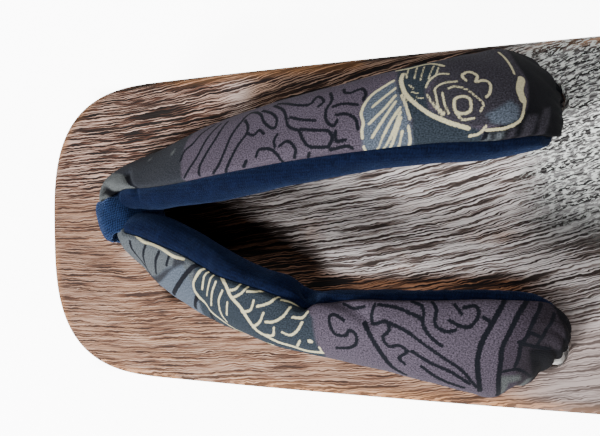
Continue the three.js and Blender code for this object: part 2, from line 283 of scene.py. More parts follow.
def weave_group() -> bpy.types.NodeTree:
    """Makes the thread weave: over and under threads of a pitch, with uneven threads.

    Returns:
        The group, which takes a place in millimetres.
    """
    group = new_group(
        "thread_weave",
        {"Place": ("NodeSocketVector", 0.0), "Pitch": ("NodeSocketFloat", 0.5)},
        {"Height": "NodeSocketFloat", "Thread": "NodeSocketFloat"},
    )
    kit = Nodes(group)
    source = kit.add("NodeGroupInput").outputs
    out = kit.add("NodeGroupOutput")
    wobble = kit.noise(source["Place"], 0.35, 2.0)
    split = kit.add("ShaderNodeSeparateXYZ", {0: source["Place"]}).outputs
    turns = kit.math("DIVIDE", math.pi, source["Pitch"])
    threads = []
    for index in (0, 1):
        bent = kit.math("MULTIPLY_ADD", wobble, 1.1, split[index])
        threads.append(kit.math("ABSOLUTE", kit.math("SINE", kit.math("MULTIPLY", bent, turns))))
    both = kit.math("MINIMUM", threads[0], threads[1])
    uneven = kit.noise(source["Place"], 2.6, 3.0, 0.65)
    height = kit.math("MULTIPLY_ADD", both, 0.35, kit.math("MULTIPLY", uneven, 0.9))
    kit.feed(out.inputs["Height"], height)
    kit.feed(out.inputs["Thread"], kit.fit(uneven, 0.3, 0.72))
    return group


def fibre_group() -> bpy.types.NodeTree:
    """Makes the soft fibre noise that cloth, velvet and cord share.

    Returns:
        The group, which takes a place in metres.
    """
    group = new_group(
        "fibre",
        {"Place": ("NodeSocketVector", 0.0), "Size": ("NodeSocketFloat", 1.0)},
        {"Coarse": "NodeSocketFloat", "Fine": "NodeSocketFloat"},
    )
    kit = Nodes(group)
    source = kit.add("NodeGroupInput").outputs
    out = kit.add("NodeGroupOutput")
    sized = kit.add("ShaderNodeVectorMath", {0: source["Place"]}, operation="SCALE")
    kit.feed(sized.inputs["Scale"], kit.math("DIVIDE", 1.0, source["Size"]))
    kit.feed(out.inputs["Coarse"], kit.noise(sized.outputs[0], 0.45, 3.0, 0.6))
    kit.feed(out.inputs["Fine"], kit.noise(sized.outputs[0], 2.4, 4.0, 0.7))
    return group


# Finishes


@dataclass(frozen=True)
class Tone:
    """The wood's colours in one part of the board, from its crests down to its furrows."""

    light: tuple[float, float, float]
    middle: tuple[float, float, float]
    low: tuple[float, float, float]
    shift: float
    gloss: float


# The silver tone's pale crests are partly the brushed wood's own pale ridges and partly a painted sheen on
# the middle of the board.
SILVER_SHEEN = Tone((0.770, 0.705, 0.690), (0.190, 0.140, 0.125), (0.030, 0.018, 0.014), 0.002, 0.45)
WARM = Tone((0.350, 0.195, 0.118), (0.165, 0.074, 0.041), (0.040, 0.018, 0.011), 0.004, 0.30)
SCORCHED = Tone((0.430, 0.285, 0.225), (0.072, 0.027, 0.015), (0.006, 0.003, 0.002), -0.030, 0.25)
# This tone is painted shadow: the dark band where the strap's right leg shades the board towards the rim.
OUTER_SHADOW = Tone((0.380, 0.240, 0.170), (0.055, 0.027, 0.017), (0.005, 0.003, 0.003), -0.030, 0.20)
HEEL = Tone((0.190, 0.185, 0.184), (0.062, 0.058, 0.058), (0.010, 0.009, 0.009), -0.004, 0.45)
TIP = Tone((0.300, 0.172, 0.112), (0.130, 0.058, 0.033), (0.030, 0.013, 0.008), 0.000, 0.30)
BLUSH = Tone((0.640, 0.470, 0.400), (0.165, 0.095, 0.070), (0.012, 0.007, 0.005), 0.002, 0.35)
SIDE = Tone((0.210, 0.118, 0.075), (0.095, 0.045, 0.027), (0.024, 0.011, 0.007), 0.006, 0.25)
FADED = Tone((0.320, 0.258, 0.240), (0.185, 0.142, 0.130), (0.075, 0.054, 0.048), 0.006, 0.30)
# This tone is painted shade, laid in a band beside the strap's left leg.
LEG_SHADE = Tone((0.135, 0.062, 0.032), (0.030, 0.012, 0.006), (0.003, 0.002, 0.002), -0.020, 0.08)
# This tone is painted shade, laid in the strap's fork behind the toe loop.
FORK_SHADE = Tone((0.040, 0.019, 0.011), (0.006, 0.003, 0.002), (0.001, 0.001, 0.001), -0.030, 0.02)


@dataclass(frozen=True)
class WoodFinish:
    """Burnt and brushed paulownia: dark ridges, warm where the char is worn, with a painted silvery sheen in
    the middle, painted glints at the heel and painted shade by the strap.

    A pair fades something in: at the first there is none of it and at the second all of it. Pairs that
    are named start, end, ahead, heel or reach are places along the sole, and those named left or right
    are places across it, in millimetres from its middle. A level is a share of the ridges' height.
    """

    ridge_pitch: float = 0.72
    relief: float = 0.00045
    tan: tuple[float, float, float] = (0.480, 0.215, 0.080)
    # The colour of the painted glints on the heel's crests.
    painted_glint: tuple[float, float, float] = (0.860, 0.890, 0.850)
    half_length: float = LENGTH / 2
    half_width: float = WIDTH / 2
    corner_length: float = CORNER
    top: float = FOOTBED - 2
    unevenness: float = 24.0
    blush_uneven: tuple[float, float] = (1.0, 4.5)
    blush_left: tuple[float, float] = (-12.0, 8.0)
    warm_lean: float = 0.20
    warm_left: tuple[float, float] = (16.0, 34.0)
    warm_ahead: tuple[float, float] = (78.0, 106.0)
    tip_ahead: tuple[float, float] = (96.0, 112.0)
    tip_left: tuple[float, float] = (38.0, 24.0)
    scorched_left: tuple[float, float] = (-10.0, -24.0)
    scorched_start: tuple[float, float] = (44.0, 62.0)
    scorched_end: tuple[float, float] = (132.0, 118.0)
    # Where the painted shadow of the strap's right leg lies.
    outer_shadow_left: tuple[float, float] = (-20.0, -34.0)
    outer_shadow_start: tuple[float, float] = (-44.0, -26.0)
    outer_shadow_end: tuple[float, float] = (62.0, 44.0)
    heel_start: tuple[float, float] = (-30.0, -44.0)
    heel_end: tuple[float, float] = (-96.0, -72.0)
    heel_left: tuple[float, float] = (13.0, -4.0)
    # Where the painted glints fade out across the heel.
    painted_glint_left: tuple[float, float] = (10.0, -24.0)
    faded_start: tuple[float, float] = (-24.0, -44.0)
    faded_left: tuple[float, float] = (16.0, 30.0)
    faded_heel: tuple[float, float] = (-72.0, -100.0)
    # Where the painted shade beside the strap's left leg lies.
    leg_shade_left: float = 18.5
    leg_shade_width: tuple[float, float] = (7.5, 2.5)
    leg_shade_reach: tuple[float, float] = (48.0, 30.0)
    # Where the painted shade in the strap's fork lies.
    fork_edge: float = 22.8
    fork_slope: float = 0.55
    fork_fade: tuple[float, float] = (-6.0, 3.5)
    fork_start: tuple[float, float] = (12.0, 28.0)
    fork_end: tuple[float, float] = (TOE_HOLE, 78.0)
    fork_left: tuple[float, float] = (27.0, 21.0)
    fork_right: tuple[float, float] = (-16.0, -9.0)
    furrow_level: tuple[float, float] = (0.440, 0.475)
    ridge_level: tuple[float, float] = (0.488, 0.530)
    crest_level: tuple[float, float] = (0.43, 0.57)
    stain_level: tuple[float, float] = (0.48, 0.66)
    bead_level: tuple[float, float] = (0.505, 0.555)
    worn_rim: tuple[float, float] = (0.91, 0.985)
    worn_patch: tuple[float, float] = (0.42, 0.56)
    crack_width: float = 0.022
    roughness: tuple[float, float] = (0.78, 0.42)

    def rim_share(self, kit: Nodes, x: object, y: object) -> bpy.types.NodeSocket:
        """Finds how near the plan's rim a place is.

        Args:
            kit: the material's nodes.
            x: its place along the sole, in millimetres.
            y: its place across it.

        Returns:
            From 0 in the middle to 1 at the rim.
        """
        side = kit.math("DIVIDE", kit.math("ABSOLUTE", y), self.half_width)
        end = kit.math("SUBTRACT", kit.math("ABSOLUTE", x), self.half_length - self.corner_length)
        end = kit.math("MAXIMUM", kit.math("DIVIDE", end, self.corner_length), 0.0)
        both = kit.math("ADD", kit.math("POWER", side, 3.0), kit.math("POWER", end, 3.0))
        return kit.math("POWER", both, 1 / 3)

    def grain(self, kit: Nodes, x: object, y: object, z: object) -> bpy.types.NodeSocket:
        """Lays the grain: nearly along the sole at the toe, swung away from it towards the heel.

        Args:
            kit: the material's nodes.
            x: the place along the sole, in millimetres.
            y: the place across it.
            z: its height.

        Returns:
            The distance across the grain, in millimetres.
        """
        slow = kit.vector(kit.math("MULTIPLY", x, 0.5), y, z)
        drift, waver = kit.noise(slow, 0.028, 2.0), kit.noise(slow, 0.11, 2.0)
        ripple = kit.noise(slow, 0.42, 2.0, 0.6)
        swing = kit.total(y, (kit.product(x, x), 0.00065), (x, -0.19), (kit.product(x, y), 0.0011))
        return kit.total(swing, (drift, 6.0), (waver, 0.9), (ripple, 1.5), (z, 1.15))

    def leg_shade(self, kit: Nodes, x: object, y: object, uneven: object) -> bpy.types.NodeSocket:
        """Finds the painted shade in a dark band beside the strap's left leg.

        Args:
            kit: the material's nodes.
            x: the place along the sole, in millimetres.
            y: the place across it.
            uneven: how far the shade's edge wanders.

        Returns:
            How much of it shows.
        """
        off = kit.math("ABSOLUTE", kit.math("SUBTRACT", kit.total(y, (uneven, 0.2)), self.leg_shade_left))
        reach = kit.math("ABSOLUTE", kit.math("ADD", x, 2.0))
        return kit.product(kit.fit(off, *self.leg_shade_width), kit.fit(reach, *self.leg_shade_reach))

    def fork_shade(self, kit: Nodes, x: object, y: object, uneven: object) -> bpy.types.NodeSocket:
        """Finds the painted shade in the strap's fork, behind the toe loop.

        Args:
            kit: the material's nodes.
            x: the place along the sole, in millimetres.
            y: the place across it.
            uneven: how far the shade's edge wanders.

        Returns:
            How much of it shows.
        """
        inward = kit.total(kit.math("SUBTRACT", y, self.fork_edge), (uneven, 0.35), (x, self.fork_slope))
        length = kit.product(kit.fit(x, *self.fork_start), kit.fit(x, *self.fork_end))
        width = kit.product(kit.fit(y, *self.fork_left), kit.fit(y, *self.fork_right))
        return kit.product(kit.fit(inward, *self.fork_fade), length, width)

    def zones(self, kit: Nodes, x: object, y: object, z: object, uneven: object) -> list[tuple[Tone, object]]:
        """Finds where each tone lies on the board; the silver one, whose pale crests partly paint a sheen,
        lies everywhere else.

        Args:
            kit: the material's nodes.
            x: the place along the sole, in millimetres.
            y: the place across it.
            z: its height.
            uneven: how far the zones' edges wander, in millimetres.

        Returns:
            Each tone and its share, from the lowest layer up.
        """
        left, ahead = kit.math("ADD", uneven, y), kit.math("ADD", uneven, x)
        on_top = kit.fit(z, self.top - 2, self.top + 1)
        blush = kit.fit(kit.math("ABSOLUTE", uneven), *self.blush_uneven)
        blush = kit.product(blush, kit.fit(left, *self.blush_left))
        warm = kit.fit(kit.total(left, (x, self.warm_lean)), *self.warm_left)
        warm = kit.math("MAXIMUM", warm, kit.fit(ahead, *self.warm_ahead))
        tip = kit.product(kit.fit(ahead, *self.tip_ahead), kit.fit(left, *self.tip_left))
        scorched = kit.product(kit.fit(x, *self.scorched_start), kit.fit(ahead, *self.scorched_end))
        scorched = kit.product(scorched, kit.fit(left, *self.scorched_left))
        # Painted shadow of the strap's right leg, between it and the rim.
        outer_shadow = kit.product(kit.fit(x, *self.outer_shadow_start), kit.fit(x, *self.outer_shadow_end))
        outer_shadow = kit.product(outer_shadow, kit.fit(left, *self.outer_shadow_left))
        heel = kit.product(kit.fit(ahead, *self.heel_start), kit.fit(ahead, *self.heel_end))
        heel = kit.product(heel, kit.fit(left, *self.heel_left), on_top)
        faded = kit.product(kit.fit(ahead, *self.faded_start), kit.fit(left, *self.faded_left))
        faded = kit.math("MAXIMUM", faded, kit.fit(ahead, *self.faded_heel))
        # Painted shade beside the strap's left leg.
        leg_shade = kit.product(self.leg_shade(kit, x, y, uneven), on_top)
        # Painted shade in the strap's fork.
        fork_shade = kit.product(self.fork_shade(kit, x, y, uneven), on_top)
        side = kit.fit(z, self.top, self.top - 4)
        return [
            (BLUSH, blush), (WARM, warm), (TIP, tip), (SCORCHED, scorched), (OUTER_SHADOW, outer_shadow), (HEEL, heel),
            (FADED, faded), (LEG_SHADE, leg_shade), (FORK_SHADE, fork_shade), (SIDE, side),
        ]

    def strand(
        self, kit: Nodes, grain: object, x: object, across: float, along: float
    ) -> bpy.types.NodeSocket:
        """Makes a noise stretched along the grain.

        Args:
            kit: the material's nodes.
            grain: the distance across the grain, in millimetres.
            x: the place along the sole.
            across: how fine it is across the grain, for each ridge.
            along: how fine it is along the grain, for each millimetre.

        Returns:
            The noise.
        """
        rows = kit.math("MULTIPLY", kit.math("DIVIDE", grain, self.ridge_pitch), across)
        return kit.noise(kit.vector(rows, kit.math("MULTIPLY", x, along)), 1.0, 1.0, 0.55)

    def comb(self, kit: Nodes, grain: object, x: object) -> bpy.types.NodeSocket:
        """Makes the fine furrows of the brush.

        Args:
            kit: the material's nodes.
            grain: the distance across the grain, in millimetres.
            x: the place along the sole.

        Returns:
            Their wave, from -1 to 1.
        """
        rows = kit.math("MULTIPLY", kit.math("DIVIDE", grain, self.ridge_pitch), 4.6)
        return kit.math("SINE", kit.total(rows, (self.strand(kit, grain, x, 0.35, 0.012), 22.0)))

    def material(self) -> bpy.types.Material:
        """Builds the wood.

        Returns:
            The material.
        """
        material = bpy.data.materials.new("burnt_wood")
        material.use_nodes = True
        kit = Nodes(material.node_tree)
        shader = material.node_tree.nodes["Principled BSDF"]
        place = kit.add("ShaderNodeTexCoord").outputs["Object"]
        large = kit.add("ShaderNodeVectorMath", {0: place}, operation="SCALE")
        large.inputs["Scale"].default_value = 1 / MM
        x, y, z = kit.add("ShaderNodeSeparateXYZ", {0: large.outputs[0]}).outputs
        grain = self.grain(kit, x, y, z)
        broad, fine = self.strand(kit, grain, x, 1.15, 0.030), self.strand(kit, grain, x, 2.3, 0.070)
        comb = self.comb(kit, grain, x)
        crack = kit.math("ABSOLUTE", kit.math("SUBTRACT", self.strand(kit, grain, x, 0.5, 0.012), 0.5))
        crack = kit.fit(crack, self.crack_width, 0.0)
        patch = kit.noise(kit.vector(kit.math("MULTIPLY", x, 0.5), y, z), 0.045, 4.0, 0.6)
        uneven = kit.math("MULTIPLY_ADD", patch, self.unevenness, -self.unevenness / 2)

        light, middle, low, shift, gloss = SILVER_SHEEN.light, SILVER_SHEEN.middle, SILVER_SHEEN.low, SILVER_SHEEN.shift, SILVER_SHEEN.gloss
        zones = self.zones(kit, x, y, z, uneven)
        for tone, share in zones:
            light = kit.mix(share, light, tone.light)
            middle = kit.mix(share, middle, tone.middle)
            low = kit.mix(share, low, tone.low)
            shift = kit.fit(share, 0.0, 1.0, shift, tone.shift)
            gloss = kit.fit(share, 0.0, 1.0, gloss, tone.gloss)
        stain = kit.noise(kit.vector(kit.math("MULTIPLY", x, 0.3), y, z), 0.16, 3.0, 0.6)
        stain = kit.fit(stain, *self.stain_level)
        height = kit.total(0.09, (broad, 0.40), (fine, 0.42), (comb, 0.040))
        level = kit.total(kit.math("ADD", height, shift), (stain, -0.03))
        crest = kit.fit(level, *self.crest_level)
        colour = kit.mix(kit.fit(level, *self.furrow_level), low, middle)
        colour = kit.mix(kit.fit(level, *self.ridge_level), colour, light)
        colour = kit.mix(kit.math("MULTIPLY", crack, 0.7), colour, low)

        worn = kit.fit(self.rim_share(kit, x, y), *self.worn_rim)
        worn = kit.product(worn, kit.fit(z, self.top - 4, self.top))
        worn = kit.product(worn, kit.fit(crest, 0.1, 0.8, 0.2, 0.8), kit.fit(patch, *self.worn_patch))
        colour = kit.mix(worn, colour, self.tan)
        # Painted glints: white specks on the heel's crests, standing in for reflections of the lamps.
        heel = next(share for tone, share in zones if tone is HEEL)
        beads = kit.vector(kit.math("MULTIPLY", grain, 1.9), kit.math("MULTIPLY", x, 0.55), z)
        beads = kit.noise(beads, 1.0, 2.0, 0.6)
        bright = kit.fit(kit.total(y, (uneven, 0.8)), *self.painted_glint_left)
        painted_glints = kit.product(kit.fit(beads, *self.bead_level), heel, bright)
        colour = kit.mix(kit.math("MULTIPLY", painted_glints, 0.9), colour, self.painted_glint)
        relief = kit.total(0.0, (broad, 0.7), (fine, 0.2), (comb, 0.045), (crack, -0.12))
        relief = kit.total(relief, (kit.math("MULTIPLY", beads, heel), 0.6))
        kit.feed(shader.inputs["Base Color"], colour)
        kit.feed(shader.inputs["Roughness"], kit.fit(crest, 0.0, 1.0, *self.roughness))
        kit.feed(shader.inputs["Specular IOR Level"], gloss)
        kit.feed(shader.inputs["Normal"], kit.bump(relief, self.relief))
        return material


@dataclass(frozen=True)
class PrintFinish:
    """The woven and dyed cloth with its drawn figures, and the painted shade that its grounds carry."""

    weave_pitch: float = 0.55
    ink: tuple[float, float, float] = (0.005, 0.006, 0.010)
    cream: tuple[float, float, float] = (0.700, 0.640, 0.400)
    ink_edge: tuple[float, float] = (0.36, 0.06)
    cream_edge: tuple[float, float] = (0.16, -0.04)
    raggedness: float = 0.26
    relief: float = 0.00012

    def material(self, weave: bpy.types.NodeTree) -> bpy.types.Material:
        """Builds the printed cloth.

        Args:
            weave: the weave group.

        Returns:
            The material.
        """
        material = bpy.data.materials.new("printed_cloth")
        material.use_nodes = True
        kit = Nodes(material.node_tree)
        shader = material.node_tree.nodes["Principled BSDF"]
        place = kit.vector(kit.attribute("along_mm"), kit.attribute("around_mm"))
        threads = kit.add("ShaderNodeGroup", node_tree=weave)
        kit.feed(threads.inputs["Place"], place)
        threads.inputs["Pitch"].default_value = self.weave_pitch
        thread = threads.outputs["Thread"]
        ground = kit.attribute("ground", "Color")
        ground = kit.mix(0.8, ground, kit.mix(thread, (0.18, 0.18, 0.18), (1.75, 1.7, 1.7)), "MULTIPLY")
        rag = kit.math("MULTIPLY_ADD", thread, self.raggedness, -self.raggedness / 2)
        ink = kit.fit(kit.math("ADD", kit.attribute("ink"), rag), *self.ink_edge)
        cream = kit.fit(kit.math("ADD", kit.attribute("cream"), rag), *self.cream_edge)
        colour = kit.mix(ink, ground, self.ink)
        pale = kit.mix(thread, tuple(0.66 * part for part in self.cream), self.cream)
        colour = kit.mix(kit.math("MULTIPLY", cream, 0.94), colour, pale)
        kit.feed(shader.inputs["Base Color"], colour)
        kit.feed(shader.inputs["Normal"], kit.bump(threads.outputs["Height"], self.relief))
        shader.inputs["Roughness"].default_value = 0.86
        shader.inputs["Specular IOR Level"].default_value = 0.12
        return material


@dataclass(frozen=True)
class VelvetFinish:
    """Deep navy velvet with a fine knitted back and a lighter nap where it turns away."""

    name: str = "navy_velvet"
    deep: tuple[float, float, float] = (0.0005, 0.0013, 0.0065)
    nap: tuple[float, float, float] = (0.0046, 0.0100, 0.0370)
    sheen: float = 0.12
    knit: float = 0.08
    knit_pitch: float = 1.15
    fibre_size: float = 0.001
    relief: float = 0.0005

    def material(self, fibre: bpy.types.NodeTree) -> bpy.types.Material:
        """Builds the velvet.

        Args:
            fibre: the fibre group.

        Returns:
            The material.
        """
        material = bpy.data.materials.new(self.name)
        material.use_nodes = True
        kit = Nodes(material.node_tree)
        shader = material.node_tree.nodes["Principled BSDF"]
        fibres = kit.add("ShaderNodeGroup", node_tree=fibre)
        kit.feed(fibres.inputs["Place"], kit.add("ShaderNodeTexCoord").outputs["Object"])
        fibres.inputs["Size"].default_value = self.fibre_size
        coarse, fine = fibres.outputs["Coarse"], fibres.outputs["Fine"]
        along = kit.math("MULTIPLY_ADD", coarse, 1.2, kit.attribute("along_mm"))
        around = kit.math("MULTIPLY_ADD", fine, 0.5, kit.attribute("around_mm"))
        waves = []
        for run, lean in ((along, 0.35), (around, -0.9)):
            slanted = kit.math("MULTIPLY_ADD", around if run is along else along, lean, run)
            waves.append(kit.math("SINE", kit.math("MULTIPLY", slanted, 2 * math.pi / self.knit_pitch)))
        knit = kit.fit(kit.math("MULTIPLY", *waves), -0.7, 0.7)
        mottle = kit.total(0.0, (knit, self.knit), (fine, 0.7 - self.knit), (coarse, 0.3))
        kit.feed(shader.inputs["Base Color"], kit.mix(kit.fit(mottle, 0.3, 0.7), self.deep, self.nap))
        kit.feed(shader.inputs["Normal"], kit.bump(mottle, self.relief))
        shader.inputs["Roughness"].default_value = 0.9
        shader.inputs["Specular IOR Level"].default_value = 0.06
        shader.inputs["Sheen Weight"].default_value = self.sheen
        shader.inputs["Sheen Roughness"].default_value = 0.38
        shader.inputs["Sheen Tint"].default_value = (0.30, 0.48, 1.0, 1.0)
        return material


@dataclass(frozen=True)
class CordFinish:
    """White twisted cotton."""

    light: tuple[float, float, float] = (0.72, 0.71, 0.68)
    shade: tuple[float, float, float] = (0.42, 0.41, 0.39)
    fibre_size: float = 0.0006
    relief: float = 0.0002

    def material(self, fibre: bpy.types.NodeTree) -> bpy.types.Material:
        """Builds the cord.

        Args:
            fibre: the fibre group.

        Returns:
            The material.
        """
        material = bpy.data.materials.new("white_cord")
        material.use_nodes = True
        kit = Nodes(material.node_tree)
        shader = material.node_tree.nodes["Principled BSDF"]
        fibres = kit.add("ShaderNodeGroup", node_tree=fibre)
        kit.feed(fibres.inputs["Place"], kit.add("ShaderNodeTexCoord").outputs["Object"])
        fibres.inputs["Size"].default_value = self.fibre_size
        share = kit.fit(fibres.outputs["Coarse"], 0.3, 0.6)
        kit.feed(shader.inputs["Base Color"], kit.mix(share, self.shade, self.light))
        kit.feed(shader.inputs["Normal"], kit.bump(fibres.outputs["Fine"], self.relief))
        shader.inputs["Roughness"].default_value = 0.85
        return material


# Mesh helpers


def closed_skin(
    name: str, rings: np.ndarray, layers: dict[str, np.ndarray] | None = None
) -> bpy.types.Object:
    """Wraps a grid of faces onto rings of points and closes it along its length and at both ends.

    Args:
        name: the piece's name.
        rings: stations by points around by 3, in metres. The end rings are drawn in to a pole.
        layers: numbers kept for each point, by attribute name.

    Returns:
        The piece's object.
    """
    stations, around = rings.shape[:2]
    shape = bmesh.new()
    kept = {label: shape.verts.layers.float.new(label) for label in (layers or {})}
    bmesh.ops.create_grid(shape, x_segments=stations - 1, y_segments=around, size=0.5)
    low = min(vert.co.x for vert in shape.verts), min(vert.co.y for vert in shape.verts)
    high = max(vert.co.x for vert in shape.verts), max(vert.co.y for vert in shape.verts)
    steps_along = (stations - 1) / (high[0] - low[0])
    steps_around = around / (high[1] - low[1])
    for vert in shape.verts:
        station = round((vert.co.x - low[0]) * steps_along)
        place = round((vert.co.y - low[1]) * steps_around) % around
        vert.co = rings[station, place]
        for label, layer in kept.items():
            vert[layer] = layers[label][station, place]
    bmesh.ops.remove_doubles(shape, verts=shape.verts, dist=1e-6)
    bmesh.ops.recalc_face_normals(shape, faces=shape.faces)
    return finished(name, shape)


def finished(name: str, shape: bmesh.types.BMesh) -> bpy.types.Object:
    """Turns a bmesh into an object of the scene, shaded smooth.

    Args:
        name: the piece's name.
        shape: the bmesh, which is freed.

    Returns:
        The object.
    """
    mesh = bpy.data.meshes.new(name)
    shape.to_mesh(mesh)
    shape.free()
    mesh.shade_smooth()
    piece = bpy.data.objects.new(name, mesh)
    bpy.context.scene.collection.objects.link(piece)
    return piece


def smooth_path(points: np.ndarray, count: int) -> np.ndarray:
    """Runs a smooth curve through points and spaces it evenly.

    Args:
        points: the route, n by 3.
        count: how many points come back.

    Returns:
        The evenly spaced points.
    """
    padded = np.vstack([2 * points[0] - points[1], points, 2 * points[-1] - points[-2]])
    steps = np.linspace(0, 1, 24, endpoint=False)[:, None]
    pieces = []
    for before, start, end, after in zip(padded, padded[1:], padded[2:], padded[3:]):
        gaps = (before, start), (start, end), (end, after)
        gap_in, gap, gap_out = (max(np.linalg.norm(far - near) ** 0.5, 1e-6) for near, far in gaps)
        leave = ((start - before) / gap_in - (end - before) / (gap_in + gap) + (end - start) / gap) * gap
        arrive = ((end - start) / gap - (after - start) / (gap + gap_out) + (after - end) / gap_out) * gap
        held = 3 * steps**2 - 2 * steps**3
        leaving, arriving = steps**3 - 2 * steps**2 + steps, steps**3 - steps**2
        pieces.append((1 - held) * start + leaving * leave + held * end + arriving * arrive)
    fine = np.vstack(pieces + [points[-1:]])
    walked = np.concatenate([[0.0], np.cumsum(np.linalg.norm(np.diff(fine, axis=0), axis=1))])
    even = np.linspace(0, walked[-1], count)
    return np.stack([np.interp(even, walked, fine[:, axis]) for axis in range(3)], 1)


def unit(vectors: np.ndarray) -> np.ndarray:
    """Returns the vectors with a length of 1."""
    return vectors / np.maximum(np.linalg.norm(vectors, axis=-1, keepdims=True), 1e-9)


def signed_power(values: np.ndarray, power: float) -> np.ndarray:
    """Returns the values raised to a power, with their signs kept."""
    return np.sign(values) * np.abs(values) ** power


def with_ends(rows: np.ndarray) -> np.ndarray:
    """Returns the rows with the first and the last repeated, for the poles that close a skin."""
    return np.concatenate([rows[:1], rows, rows[-1:]])


def segment_distance(points: np.ndarray, start: np.ndarray, end: np.ndarray) -> np.ndarray:
    """Measures points from one straight stretch.

    Args:
        points: n by 3.
        start: one end of the stretch.
        end: its other end.

    Returns:
        The n distances.
    """
    way = end - start
    share = np.clip(((points - start) @ way) / max(float(way @ way), 1e-12), 0, 1)
    return np.linalg.norm(points - start - share[:, None] * way, axis=1)


def inside_share(
    across: np.ndarray, up: np.ndarray, outline: tuple[tuple[float, float], ...], scale: float
) -> np.ndarray:
    """Finds how far inside an outline each place is, with a soft edge.

    Args:
        across: the places' first numbers.
        up: their second numbers, already scaled.
        outline: the outline's corners.
        scale: what its second numbers are multiplied by.

    Returns:
        From 0 outside to 1 inside.
    """
    corners = np.array(outline, float) * (1, scale)
    within = np.zeros(len(across), bool)
    nearest = np.full(len(across), 1e3)
    for start, end in zip(corners, np.roll(corners, -1, axis=0)):
        way = end - start
        share = np.clip(((across - start[0]) * way[0] + (up - start[1]) * way[1]) / (way @ way), 0, 1)
        off = np.hypot(across - start[0] - share * way[0], up - start[1] - share * way[1])
        nearest = np.minimum(nearest, off)
        crosses = (start[1] > up) != (end[1] > up)
        if crosses.any():
            meets = start[0] + (up - start[1]) / (way[1] if way[1] else 1e-9) * way[0]
            within ^= crosses & (across < meets)
    blur = 0.9
    return np.clip(0.5 + np.where(within, nearest, -nearest) / blur, 0, 1)


# The sole


@dataclass
class SoleSizes:
    """The board, its teeth and the reach of their cutters, in millimetres and degrees."""

    length: float = LENGTH
    width: float = WIDTH
    side_bow: float = 1.5
    corner_length: float = CORNER
    corner_power: float = 3.0
    rim: float = 2.2
    height: float = FOOTBED
    board: float = BOARD
    tip: float = 14.0
    tooth: float = 27.0
    lean: float = 1.5
    root: float = 7.0
    arris: float = 1.6
    toe_hole: float = TOE_HOLE
    heel_hole: float = HEEL_HOLE
    heel_side: float = HEEL_SIDE
    toe_bore: float = TOE_BORE
    heel_bore: float = HEEL_BORE
    lip: float = 1.0
    front_tooth: float = 72.0
    rear_tooth: float = -51.0
    pocket: float = 25.0
    pocket_top: float = POCKET_TOP
    ease: float = 0.6
    ease_angle: float = 38.0
    cutter_reach: float = 80.0
    drill_foot: float = 15.0
    past: float = 5.0


